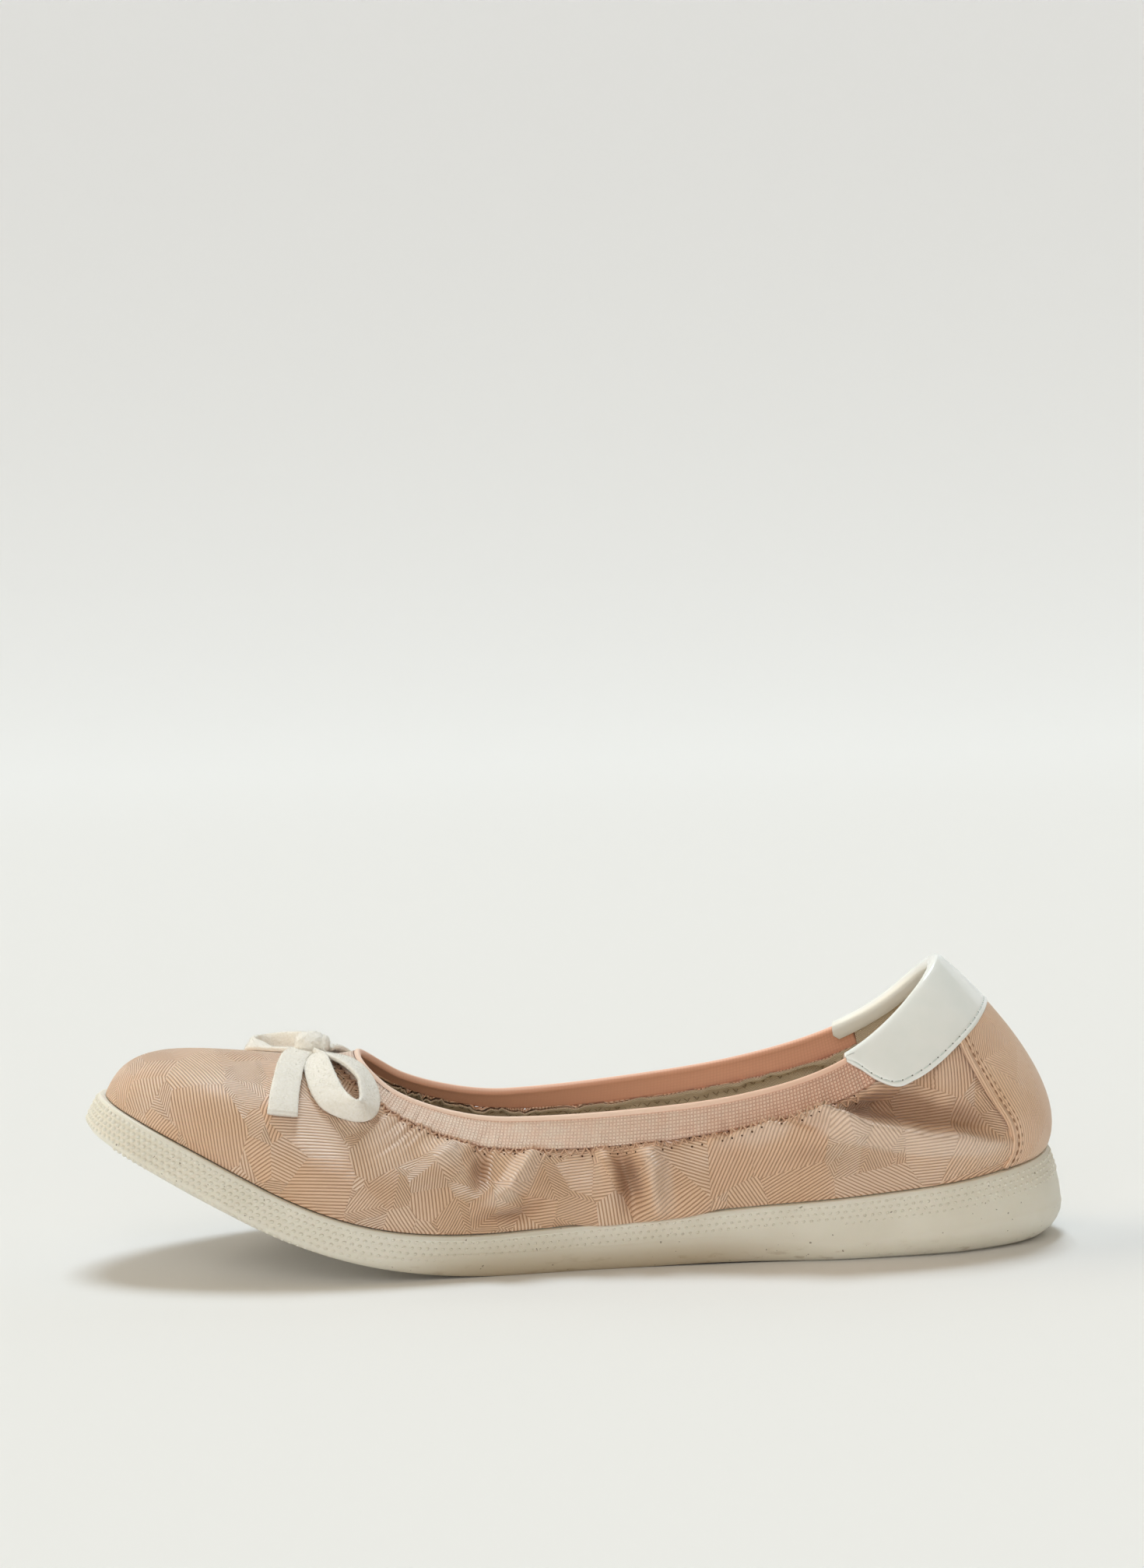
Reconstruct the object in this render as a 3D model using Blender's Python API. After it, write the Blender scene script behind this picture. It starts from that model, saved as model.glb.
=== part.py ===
"""A right-foot ballet flat: a moulded outsole with toe spring, a fabric upper, a stretch band round the
topline, a folded heel cuff, a heel panel, an insole and a ribbon bow.

Frame: +X to the toe, +Y to the inner (medial) side, +Z up. The origin is on the floor under the middle
of the heel. Every length is in millimetres until the meshes are made. s runs along the sole's
underside, y across it and h square to it. bend() lays that straight shoe over the toe spring.
"""

import functools
import math

import bmesh
import bpy
from mathutils import Vector
from mathutils.bvhtree import BVHTree

MM = 0.001
# The gap between pieces that meet, and the one under a skin that laps over the curved wall.
GAP = 0.3
LAP = 0.45

# The sole's underside: flat from the heel to the ball, then an arc, then straight up to the toe.
SPRING_START = 105.0
SPRING_RADIUS = 148.4
SPRING_ANGLE = math.radians(26)
ARCH_FROM, ARCH_TO, ARCH_RISE = 24.0, 80.0, 0.4

# One row for each spoke of the shoe: the toe tip, the inner side, the heel, then the outer side.
# edge_s, edge_y: the sole's top edge in plan. rim: its height. flare: how far the side wall swells
# out below that edge. corner: the radius between wall and underside. rib: depth of the side ribs.
SOLE_COLUMNS = ("edge_s", "edge_y", "rim", "flare", "corner", "rib")
SOLE_ROWS = (
    (220.0, 3.0, 8.6, 0.4, 2.0, 0.40),
    (217.0, 13.8, 8.8, 0.4, 2.0, 0.40),
    (208.0, 23.6, 9.2, 0.5, 2.0, 0.40),
    (192.0, 32.6, 9.6, 0.6, 2.0, 0.35),
    (168.0, 39.6, 9.3, 0.8, 2.0, 0.25),
    (142.0, 42.5, 9.2, 1.0, 2.0, 0.15),
    (112.0, 38.5, 10.2, 1.2, 2.0, 0.12),
    (80.0, 33.0, 11.5, 1.4, 2.0, 0.12),
    (48.0, 31.0, 13.6, 1.6, 2.5, 0.15),
    (15.0, 30.5, 15.8, 2.0, 4.5, 0.18),
    (-12.0, 26.3, 18.6, 2.6, 7.5, 0.18),
    (-28.0, 14.6, 21.2, 3.0, 8.5, 0.18),
    (-32.6, 0.0, 22.6, 3.0, 8.5, 0.18),
    (-28.0, -14.6, 21.2, 3.0, 8.5, 0.18),
    (-12.0, -26.6, 18.6, 2.6, 7.5, 0.18),
    (15.0, -31.0, 15.8, 2.0, 4.5, 0.18),
    (48.0, -33.0, 13.6, 1.6, 2.5, 0.15),
    (80.0, -38.0, 11.5, 1.4, 2.0, 0.12),
    (112.0, -43.5, 10.2, 1.2, 2.0, 0.12),
    (142.0, -44.5, 9.2, 1.0, 2.0, 0.15),
    (168.0, -40.2, 9.3, 0.8, 2.0, 0.25),
    (192.0, -30.6, 9.6, 0.6, 2.0, 0.35),
    (208.0, -19.6, 9.2, 0.5, 2.0, 0.40),
    (217.0, -8.6, 8.8, 0.4, 2.0, 0.40),
)
RIB_COUNT = 4
RIM_ROUND = 0.5
BED_EDGE = 4.2
BED_DEPTH = 2.2

# The same spokes on the upper. The wall leaves the sole leaning out by lean degrees with a pull of
# rise, and comes to the topline climbing inwards at slope degrees with a pull of run.
WALL_COLUMNS = ("top_s", "top_y", "top_h", "rise", "lean", "run", "slope")
WALL_ROWS = (
    (160.0, 0.0, 44.7, 18.0, 3.0, 46.0, 24.0),
    (159.2, 4.2, 44.2, 18.0, 3.0, 44.0, 25.0),
    (156.5, 8.4, 43.2, 17.0, 4.0, 39.0, 26.0),
    (151.5, 12.0, 41.7, 17.0, 4.0, 33.0, 27.0),
    (143.0, 15.3, 39.7, 17.0, 5.0, 26.0, 31.0),
    (128.0, 18.5, 38.2, 16.0, 6.0, 17.0, 40.0),
    (106.0, 21.8, 37.3, 13.0, 8.0, 12.0, 54.0),
    (78.0, 25.0, 38.5, 11.0, 10.0, 10.0, 68.0),
    (48.0, 26.8, 41.8, 10.0, 9.0, 10.0, 72.0),
    (23.0, 26.0, 48.9, 12.0, 7.0, 13.0, 66.0),
    (8.0, 19.0, 58.1, 13.0, 13.0, 17.0, 54.0),
    (-2.0, 9.8, 67.6, 14.0, 24.0, 19.0, 44.0),
    (-5.0, 0.0, 70.9, 14.0, 28.0, 19.0, 41.0),
    (-2.0, -9.8, 67.6, 14.0, 24.0, 19.0, 44.0),
    (8.0, -19.0, 58.1, 13.0, 13.0, 17.0, 54.0),
    (23.0, -26.0, 49.5, 12.0, 7.0, 13.0, 66.0),
    (48.0, -26.8, 42.8, 10.0, 9.0, 10.0, 72.0),
    (78.0, -25.0, 39.0, 11.0, 10.0, 10.0, 66.0),
    (106.0, -21.8, 37.3, 13.0, 8.0, 12.0, 50.0),
    (128.0, -18.5, 38.2, 16.0, 6.0, 17.0, 38.0),
    (143.0, -15.3, 39.7, 17.0, 5.0, 26.0, 30.0),
    (151.5, -12.0, 41.7, 17.0, 4.0, 33.0, 27.0),
    (156.5, -8.4, 43.2, 17.0, 4.0, 39.0, 26.0),
    (159.2, -4.2, 44.2, 18.0, 3.0, 44.0, 25.0),
)
SPOKES = len(SOLE_ROWS)
RING_STEPS = 3
CURVE_STEPS = 40
LEDGE = 1.6
WALL = 1.6
WALL_STEPS = 9
# Just past the band's end the upper's edge steps up to the topline, between these two places.
STEP_AT = (0.02, 0.04)

# The stretch band, as (down from the topline, out from the wall). Its upper edge is a thicker roll.
# It runs round the front of the shoe and ends under the cuff at band_end on each side.
BAND_WIDTH = 9.0
BAND_END = 9.45
BAND_SECTION = (
    (BAND_WIDTH, -0.2),
    (5.5, -0.2),
    (2.0, -0.2),
    (1.5, 0.05),
    (0.5, 0.05),
    (0.0, -0.4),
    (0.0, -1.2),
    (0.5, -1.65),
    (1.5, -1.65),
    (2.0, -1.4),
    (5.5, -1.4),
    (BAND_WIDTH, -1.4),
)

INSOLE_THICK = 3.0
INSOLE_EDGE = 4.7
INSOLE_ROUND = 0.8

# The heel cuff is folded over the topline: low is how far its outer flap hangs down at each place.
CUFF_COLUMNS = ("place", "low")
CUFF_ROWS = (
    (9.12, 1.6),
    (9.30, 4.8),
    (9.45, 9.6),
    (9.62, 13.6),
    (9.85, 15.4),
    (10.20, 16.6),
    (10.70, 17.2),
    (11.30, 16.9),
    (12.00, 16.6),
)
CUFF_STEPS = 12
CUFF_SKIN = 1.0
CUFF_FLAP = (1.0, 0.93, 0.6, 0.3)
CUFF_INSIDE = 4.0
# Over the fold: (down, out) on the outer face, then on the face against the upper.
CUFF_FOLD = (
    ((0.3, LAP + CUFF_SKIN), (0.3, LAP)),
    ((-0.7, 1.15), (-0.2, 0.3)),
    ((-1.2, 0.4), (-0.3, -0.1)),
    ((-1.3, -0.8), (-0.3, -0.8)),
    ((-1.2, -2.0), (-0.3, -1.5)),
    ((-0.7, -2.75), (-0.2, -1.85)),
    ((0.3, -3.0), (0.3, -2.0)),
    ((CUFF_INSIDE * 0.6, -3.0), (CUFF_INSIDE * 0.6, -2.0)),
    ((CUFF_INSIDE, -2.9), (CUFF_INSIDE, -2.0)),
)

# The heel panel lies on the upper. Its front edge is at this place, by share of its height downwards.
PANEL_COLUMNS = ("share", "place")
PANEL_ROWS = ((0.0, 10.66), (0.2, 10.59), (0.5, 10.55), (0.75, 10.58), (0.9, 10.52), (1.0, 10.40))
PANEL_SKIN = 0.9
PANEL_FOOT = 0.7
PANEL_ACROSS = 12
PANEL_DOWN = 8

# The bow sits on the vamp. Each loop leaves the knot sideways, turned towards the heel or the toe.
VAMP_REACH = 6
VAMP_STEPS = 4
VAMP_DOWN = 24
BOW_X, BOW_Y = 155.0, 0.0
KNOT_HALF = (4.2, 4.6, 3.2)
KNOT_POWER = 0.75
KNOT_RINGS = 9
KNOT_SIDES = 14
RIBBON_WIDE = 7.6
RIBBON_PINCHED = 3.8
RIBBON_THICK = 1.7
BOW_LIFT = 0.5
LOOP_LENGTH = 31.0
LOOP_WIDTH = 15.0
LOOP_TURN = math.radians(20)
LOOP_FROM = 0.84
LOOP_LEAN = math.radians(70)
LOOP_STEPS = 22
# Each tail by its middle line in plan, from the knot to its cut end.
TAIL_COLUMNS = ("along", "x", "y", "wide")
TAIL_NEAR_ROWS = (
    (0.0, 159.4, 5.2, 4.8),
    (0.2, 160.6, 11.0, 5.8),
    (0.5, 161.0, 19.0, 6.8),
    (0.75, 161.1, 26.5, 7.3),
    (1.0, 161.2, 33.2, 7.6),
)
TAIL_FAR_ROWS = (
    (0.0, 151.0, -5.2, 4.8),
    (0.2, 149.6, -10.5, 5.8),
    (0.5, 148.6, -18.0, 6.8),
    (0.75, 148.6, -25.0, 7.3),
    (1.0, 149.4, -32.0, 7.6),
)
TAIL_STEPS = 9


def clear_scene():
    for obj in list(bpy.data.objects):
        bpy.data.objects.remove(obj, do_unlink=True)


def bend(s, y, h):
    """A point of the straight shoe laid over the toe spring."""
    turn = min(max((s - SPRING_START) / SPRING_RADIUS, 0.0), SPRING_ANGLE)
    along = min(s, SPRING_START)
    beyond = max(s - SPRING_START - SPRING_RADIUS * SPRING_ANGLE, 0.0)
    reach = SPRING_RADIUS - h
    x = along + reach * math.sin(turn) + beyond * math.cos(turn)
    z = SPRING_RADIUS - reach * math.cos(turn) + beyond * math.sin(turn)
    return Vector((x, y, z))


def arch(s):
    """How far the underside lifts off the floor between heel and ball."""
    share = min(max((s - ARCH_FROM) / (ARCH_TO - ARCH_FROM), 0.0), 1.0)
    return ARCH_RISE * math.sin(math.pi * share) ** 2


def spans():
    """The plan distance from each spoke to the next one."""
    edge = [Vector(row[:2]) for row in SOLE_ROWS]
    return [(edge[(i + 1) % SPOKES] - edge[i]).length for i in range(SPOKES)]


SPANS = spans()


def at_place(rows, columns, place):
    """The columns at a place on the closed ring of spokes, on a smooth curve through the rows."""
    i = math.floor(place)
    t = place - i
    near = [rows[(i + k) % SPOKES] for k in (-1, 0, 1, 2)]
    span0, span1, span2 = (SPANS[(i + k) % SPOKES] for k in (-1, 0, 1))
    found = {}
    for name, a, b, c, d in zip(columns, *near):
        into, over, out = (b - a) / span0, (c - b) / span1, (d - c) / span2
        leave = (over * span0 + into * span1) / (span0 + span1) * span1
        arrive = (out * span1 + over * span2) / (span1 + span2) * span1
        found[name] = (
            b * (2 * t**3 - 3 * t**2 + 1)
            + leave * (t**3 - 2 * t**2 + t)
            + c * (3 * t**2 - 2 * t**3)
            + arrive * (t**3 - t**2)
        )
    return found


@functools.lru_cache(maxsize=None)
def sole_at(place):
    return at_place(SOLE_ROWS, SOLE_COLUMNS, place)


@functools.lru_cache(maxsize=None)
def wall_at(place):
    return at_place(WALL_ROWS, WALL_COLUMNS, place)


def outward(lookup, s_name, y_name, place):
    """The unit vector in plan that points out of a ring at a place."""
    before, after = lookup(place - 0.02), lookup(place + 0.02)
    run = Vector((after[s_name] - before[s_name], after[y_name] - before[y_name])).normalized()
    return Vector((run.y, -run.x))


def sole_point(place, inset, h):
    """A point inset from the sole's top edge, at height h over the underside."""
    sole = sole_at(place)
    plan = Vector((sole["edge_s"], sole["edge_y"])) - outward(sole_at, "edge_s", "edge_y", place) * inset
    return bend(plan.x, plan.y, h)


@functools.lru_cache(maxsize=None)
def wall_curve(place):
    """The wall's outside at a place: points from the topline to the sole, and how far down each is."""
    sole, wall = sole_at(place), wall_at(place)
    out_foot = outward(sole_at, "edge_s", "edge_y", place)
    out_top = outward(wall_at, "top_s", "top_y", place)
    lean, slope = math.radians(wall["lean"]), math.radians(wall["slope"])
    foot_plan = Vector((sole["edge_s"], sole["edge_y"])) - out_foot * LEDGE
    foot = Vector((*foot_plan, sole["rim"] + GAP))
    top = Vector((wall["top_s"], wall["top_y"], wall["top_h"]))
    leave = Vector((*(out_foot * math.sin(lean)), math.cos(lean))) * wall["rise"]
    arrive = Vector((*(out_top * math.cos(slope)), -math.sin(slope))) * wall["run"]
    controls = (top, top + arrive, foot + leave, foot)
    points, downs = [], [0.0]
    for k in range(CURVE_STEPS + 1):
        t = k / CURVE_STEPS
        weights = ((1 - t) ** 3, 3 * t * (1 - t) ** 2, 3 * t * t * (1 - t), t**3)
        straight = sum((c * w for c, w in zip(controls, weights)), Vector((0, 0, 0)))
        points.append(bend(*straight))
        if k:
            downs.append(downs[-1] + (points[-1] - points[-2]).length)
    return points, downs


def wall_length(place):
    return wall_curve(place)[1][-1]


def on_wall(place, down):
    """The wall's outside, down from the topline along its curve. Above the topline it runs straight on."""
    points, downs = wall_curve(place)
    k = 0
    while k < len(downs) - 2 and downs[k + 1] < down:
        k += 1
    share = (down - downs[k]) / (downs[k + 1] - downs[k])
    return points[k] + (points[k + 1] - points[k]) * share


def wall_normal(place, down):
    """The unit vector that points out of the wall."""
    share = down / wall_length(place)
    ahead, behind = place + 0.06, place - 0.06
    along = on_wall(ahead, share * wall_length(ahead)) - on_wall(behind, share * wall_length(behind))
    drop = on_wall(place, min(down + 0.6, wall_length(place))) - on_wall(place, down - 0.6)
    return drop.cross(along).normalized()


def off_wall(place, down, out):
    """A point that stands out from the wall's outside, or into the shoe where out is negative."""
    return on_wall(place, down) + wall_normal(place, down) * out


def ring_places():
    return [k / RING_STEPS for k in range(SPOKES * RING_STEPS)]


def solid(name, rings, faces, collection, finish):
    """One mesh object from lists of points and the faces between them, facing out."""
    mesh = bpy.data.meshes.new(name)
    mesh.from_pydata([tuple(p * MM) for ring in rings for p in ring], [], faces)
    work = bmesh.new()
    work.from_mesh(mesh)
    bmesh.ops.remove_doubles(work, verts=work.verts, dist=1e-6)
    bmesh.ops.recalc_face_normals(work, faces=work.faces)
    work.to_mesh(mesh)
    work.free()
    obj = bpy.data.objects.new(name, mesh)
    obj.data.materials.append(finish)
    collection.objects.link(obj)
    return obj


def loft_faces(ring_count, size, closed):
    """Quads between neighbouring loops of points, and a cap on each end unless the loft closes."""
    faces = []
    for i in range(ring_count if closed else ring_count - 1):
        a, b = i * size, (i + 1) % ring_count * size
        for j in range(size):
            k = (j + 1) % size
            faces.append((a + j, a + k, b + k, b + j))
    if not closed:
        last = (ring_count - 1) * size
        for j in range(size // 2 - 1):
            faces.append((j, size - 1 - j, size - 2 - j, j + 1))
            faces.append((last + j, last + j + 1, last + size - 2 - j, last + size - 1 - j))
    return faces


def plate_faces(ring_count, size):
    """Quads down open columns, and strips across the shoe that join the first and the last points."""
    faces = []
    for i in range(ring_count):
        a, b = i * size, (i + 1) % ring_count * size
        for j in range(size - 1):
            faces.append((a + j, a + j + 1, b + j + 1, b + j))
    for end in (0, size - 1):
        for i in range(ring_count // 2):
            this_side = (i * size + end, (i + 1) * size + end)
            other_side = ((ring_count - i - 1) * size + end, (ring_count - i) % ring_count * size + end)
            corners = this_side + other_side
            if i == 0:
                corners = (this_side[0], this_side[1], other_side[0])
            if i == ring_count // 2 - 1:
                corners = (this_side[0], this_side[1], other_side[1])
            faces.append(corners)
    return faces


def outsole_column(place):
    sole = sole_at(place)
    rim, flare, corner, rib = (sole[name] for name in ("rim", "flare", "corner", "rib"))
    floor = arch(sole["edge_s"])
    rows = [(BED_EDGE, rim - BED_DEPTH), (BED_EDGE, rim), (RIM_ROUND, rim), (0.0, rim - RIM_ROUND)]
    ribbed_from, ribbed_to = rim - 1.6, corner + 0.35 * (rim - corner) * (rim / 22.6)
    wall_low = corner + floor
    marks = []
    pitch = (ribbed_from - ribbed_to) / RIB_COUNT
    for k in range(RIB_COUNT):
        top = ribbed_from - k * pitch
        marks += [(top, 0.0), (top - 0.3 * pitch, -rib), (top - 0.5 * pitch, -rib), (top - 0.8 * pitch, 0.0)]
    marks.append((wall_low, 0.0))
    for h, cut in marks:
        swell = flare * math.sin(math.pi / 2 * (rim - h) / (rim - wall_low))
        rows.append((-swell - cut, h))
    for k in (1, 2, 3):
        turn = math.pi / 2 * k / 3
        rows.append((-flare + corner * (1 - math.cos(turn)), floor + corner * (1 - math.sin(turn))))
    return [sole_point(place, inset, h) for inset, h in rows]


def insole_column(place):
    bed = sole_at(place)["rim"] - BED_DEPTH + GAP
    top = bed + INSOLE_THICK
    rows = (
        (INSOLE_EDGE + INSOLE_ROUND, top),
        (INSOLE_EDGE, top - INSOLE_ROUND),
        (INSOLE_EDGE, bed),
    )
    return [sole_point(place, inset, h) for inset, h in rows]


def from_rows(rows, columns, value):
    """The columns of a table where its first column has this value, on a smooth curve through the rows."""
    i = 0
    while i < len(rows) - 2 and rows[i + 1][0] < value:
        i += 1
    near = [rows[min(max(i + k, 0), len(rows) - 1)] for k in (-1, 0, 1, 2)]
    span = near[2][0] - near[1][0]
    t = (value - near[1][0]) / span
    found = {}
    for j, name in enumerate(columns):
        a, b, c, d = (row[j] for row in near)
        leave = (c - a) / max(near[2][0] - near[0][0], 1e-9) * span
        arrive = (d - b) / max(near[3][0] - near[1][0], 1e-9) * span
        found[name] = (
            b * (2 * t**3 - 3 * t**2 + 1)
            + leave * (t**3 - 2 * t**2 + t)
            + c * (3 * t**2 - 2 * t**3)
            + arrive * (t**3 - t**2)
        )
    return found


def cuff_low(place):
    """How far the cuff's flap hangs down. The outer side mirrors the inner one."""
    return from_rows(CUFF_ROWS, CUFF_COLUMNS, min(place, SPOKES - place))["low"]


def upper_section(place):
    band_ends = min(place, SPOKES - place) < BAND_END + sum(STEP_AT) / 2
    top = BAND_WIDTH + GAP if band_ends else 0.0
    last = wall_length(place)
    downs = [top + (last - top) * k / (WALL_STEPS - 1) for k in range(WALL_STEPS)]
    outside = [off_wall(place, down, 0.0) for down in downs]
    inside = [off_wall(place, down, -WALL) for down in reversed(downs)]
    return outside + inside


def band_section(place):
    return [off_wall(place, down, out) for down, out in BAND_SECTION]


def cuff_section(place):
    low = cuff_low(place)
    outer = [(low, LAP + CUFF_SKIN * 0.85)] + [(low * k, LAP + CUFF_SKIN) for k in CUFF_FLAP[1:]]
    inner = [(low * k, LAP) for k in CUFF_FLAP]
    outer += [pair[0] for pair in CUFF_FOLD]
    inner += [pair[1] for pair in CUFF_FOLD]
    return [off_wall(place, down, out) for down, out in outer + inner[::-1]]


def panel_section(across):
    outer, inner = [], []
    for k in range(PANEL_DOWN + 1):
        share = k / PANEL_DOWN
        front = from_rows(PANEL_ROWS, PANEL_COLUMNS, share)["place"]
        place = front + (SPOKES - 2 * front) * across
        top = cuff_low(place) + GAP
        down = top + (wall_length(place) - PANEL_FOOT - top) * share
        outer.append(off_wall(place, down, LAP + PANEL_SKIN))
        inner.append(off_wall(place, down, LAP))
    return outer + inner[::-1]


def vamp_tree():
    """The front of the shoe as a search tree, for what rests on it."""
    places = [k / VAMP_STEPS for k in range(-VAMP_REACH * VAMP_STEPS, VAMP_REACH * VAMP_STEPS + 1)]
    down = [k / VAMP_DOWN for k in range(VAMP_DOWN + 1)]
    points = [on_wall(place, wall_length(place) * share) for place in places for share in down]
    faces = []
    for i in range(len(places) - 1):
        for j in range(VAMP_DOWN):
            a, b = i * len(down) + j, (i + 1) * len(down) + j
            faces.append((a, a + 1, b + 1, b))
    return BVHTree.FromPolygons(points, faces)


def ribbon_section(centre, tangent, across, wide):
    """A ribbon's rounded cross-section: across is its width direction."""
    depth = tangent.cross(across).normalized()
    half, thin = wide / 2, RIBBON_THICK / 2
    corners = ((0.82, 1.0), (1.0, 0.35), (1.0, -0.35), (0.82, -1.0))
    outline = list(corners) + [(-a, -b) for a, b in corners]
    return [centre + across * (a * half) + depth * (b * thin) for a, b in outline]


def rest(tree, x, y):
    """Where a line straight down meets the vamp, and the vamp's normal there."""
    found, normal, _, _ = tree.ray_cast(Vector((x, y, 200.0)), Vector((0, 0, -1)))
    return found, normal if normal.z > 0 else -normal


def loop_sections(tree, side):
    """A loop of ribbon: side is 1 for the inner side of the shoe and -1 for the outer side."""
    ahead = Vector((-math.sin(LOOP_TURN), math.cos(LOOP_TURN))) * side
    beside = Vector((ahead.y, -ahead.x))

    def plan(angle):
        out = LOOP_LENGTH * (1 - math.cos(angle)) / 2
        aside = LOOP_WIDTH / 2 * math.sin(angle) * math.sin(angle / 2)
        return Vector((BOW_X, BOW_Y)) + ahead * out + beside * aside

    sections = []
    for k in range(LOOP_STEPS + 1):
        angle = LOOP_FROM + (2 * math.pi - 2 * LOOP_FROM) * k / LOOP_STEPS
        swing = math.sin(angle / 2) ** 2
        lean = LOOP_LEAN * swing
        wide = RIBBON_PINCHED + (RIBBON_WIDE - RIBBON_PINCHED) * swing
        here, normal = rest(tree, *plan(angle))
        step = rest(tree, *plan(angle + 0.02))[0] - rest(tree, *plan(angle - 0.02))[0]
        tangent = (step - normal * step.dot(normal)).normalized()
        inward = tangent.cross(normal)
        across = normal * math.cos(lean) + inward * math.sin(lean)
        lift = BOW_LIFT + wide / 2 * math.cos(lean) + RIBBON_THICK / 2 * math.sin(lean)
        sections.append(ribbon_section(here + normal * lift, tangent, across, wide))
    return sections


def tail_sections(tree, rows):
    def place(along):
        row = from_rows(rows, TAIL_COLUMNS, along)
        return rest(tree, row["x"], row["y"])

    sections = []
    for k in range(TAIL_STEPS + 1):
        along = k / TAIL_STEPS
        here, normal = place(along)
        step = place(along + 0.02)[0] - place(along - 0.02)[0]
        across = normal.cross(step).normalized()
        wide = from_rows(rows, TAIL_COLUMNS, along)["wide"]
        centre = here + normal * (BOW_LIFT + RIBBON_THICK / 2)
        sections.append(ribbon_section(centre, step.normalized(), across, wide))
    return sections


def knot_sections(tree):
    """The knot: a squarish ball, as rings from one side of the shoe to the other."""
    here, normal = rest(tree, BOW_X, BOW_Y)
    side = Vector((0, 1, 0))
    ahead = side.cross(normal).normalized()
    centre = here + normal * (BOW_LIFT + KNOT_HALF[2])
    rings = []
    for k in range(KNOT_RINGS):
        turn = math.pi * (0.06 + 0.88 * k / (KNOT_RINGS - 1))
        size = math.sin(turn) ** KNOT_POWER
        middle = centre + side * (KNOT_HALF[1] * math.cos(turn))
        ring = []
        for j in range(KNOT_SIDES):
            angle = 2 * math.pi * j / KNOT_SIDES
            a, b = math.cos(angle), math.sin(angle)
            over = ahead * (KNOT_HALF[0] * math.copysign(abs(a) ** KNOT_POWER, a))
            up = normal * (KNOT_HALF[2] * math.copysign(abs(b) ** KNOT_POWER, b))
            ring.append(middle + (over + up) * size)
        rings.append(ring)
    return rings


def new_finish(name, colour, roughness):
    finish = bpy.data.materials.new(name)
    finish.use_nodes = True
    shader = finish.node_tree.nodes["Principled BSDF"]
    shader.inputs["Base Color"].default_value = (*colour, 1.0)
    shader.inputs["Roughness"].default_value = roughness
    return finish


def main():
    clear_scene()
    shoe = bpy.data.collections.new("ballet_flat")
    bpy.context.scene.collection.children.link(shoe)
    rubber = new_finish("sole_rubber", (0.66, 0.62, 0.53), 0.6)
    satin = new_finish("tan_satin", (0.50, 0.34, 0.24), 0.5)
    panel_satin = new_finish("panel_satin", (0.54, 0.37, 0.26), 0.5)
    elastic = new_finish("pink_elastic", (0.70, 0.40, 0.29), 0.7)
    patent = new_finish("white_patent", (0.78, 0.80, 0.78), 0.2)
    lining = new_finish("beige_lining", (0.45, 0.38, 0.29), 0.8)
    ribbon = new_finish("cream_ribbon", (0.80, 0.76, 0.68), 0.9)

    places = ring_places()
    plate = [outsole_column(place) for place in places]
    solid("outsole", plate, plate_faces(len(plate), len(plate[0])), shoe, rubber)
    plate = [insole_column(place) for place in places]
    solid("insole", plate, plate_faces(len(plate), len(plate[0])), shoe, lining)

    steps = [BAND_END + past for past in STEP_AT]
    wall = [upper_section(place) for place in sorted(places + steps + [SPOKES - step for step in steps])]
    solid("upper", wall, loft_faces(len(wall), len(wall[0]), True), shoe, satin)
    count = round(2 * BAND_END * RING_STEPS)
    band = [band_section(BAND_END * (2 * k / count - 1)) for k in range(count + 1)]
    solid("collar_elastic", band, loft_faces(len(band), len(band[0]), False), shoe, elastic)

    front = CUFF_ROWS[0][0]
    shares = [(1 - math.cos(math.pi * k / (2 * CUFF_STEPS))) / 2 for k in range(2 * CUFF_STEPS + 1)]
    cuff = [cuff_section(front + (SPOKES - 2 * front) * share) for share in shares]
    solid("heel_cuff", cuff, loft_faces(len(cuff), len(cuff[0]), False), shoe, patent)
    panel = [panel_section(k / PANEL_ACROSS) for k in range(PANEL_ACROSS + 1)]
    solid("heel_panel", panel, loft_faces(len(panel), len(panel[0]), False), shoe, panel_satin)

    tree = vamp_tree()
    pieces = {
        "bow_knot": knot_sections(tree),
        "bow_loop_near": loop_sections(tree, 1),
        "bow_loop_far": loop_sections(tree, -1),
        "bow_tail_near": tail_sections(tree, TAIL_NEAR_ROWS),
        "bow_tail_far": tail_sections(tree, TAIL_FAR_ROWS),
    }
    for name, rings in pieces.items():
        solid(name, rings, loft_faces(len(rings), len(rings[0]), False), shoe, ribbon)


main()
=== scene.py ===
import math

import bpy
import numpy as np
from mathutils import Matrix, Vector
from mathutils.bvhtree import BVHTree


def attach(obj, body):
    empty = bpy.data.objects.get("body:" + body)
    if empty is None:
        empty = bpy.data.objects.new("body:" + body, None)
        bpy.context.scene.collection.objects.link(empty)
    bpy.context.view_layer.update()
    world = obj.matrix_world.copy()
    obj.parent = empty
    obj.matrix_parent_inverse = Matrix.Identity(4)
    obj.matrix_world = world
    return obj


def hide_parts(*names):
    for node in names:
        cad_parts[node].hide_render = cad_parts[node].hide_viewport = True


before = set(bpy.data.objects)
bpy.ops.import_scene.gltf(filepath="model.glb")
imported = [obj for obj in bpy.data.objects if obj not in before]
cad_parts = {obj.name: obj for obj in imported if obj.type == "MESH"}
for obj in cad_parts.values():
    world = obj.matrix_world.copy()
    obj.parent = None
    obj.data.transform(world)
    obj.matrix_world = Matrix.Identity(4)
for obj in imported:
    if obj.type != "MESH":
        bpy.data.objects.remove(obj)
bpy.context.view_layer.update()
print("frame loaded")

mm = 0.001

# The shoe is worked out straight, in millimetres, and then laid over the toe spring.
spring = {"start": 105.0, "radius": 148.4, "angle": math.radians(26)}
arch = {"start": 24.0, "end": 80.0, "height": 0.4}
edge = {"ledge": 1.6, "gap": 0.3, "steps": 56}

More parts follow.
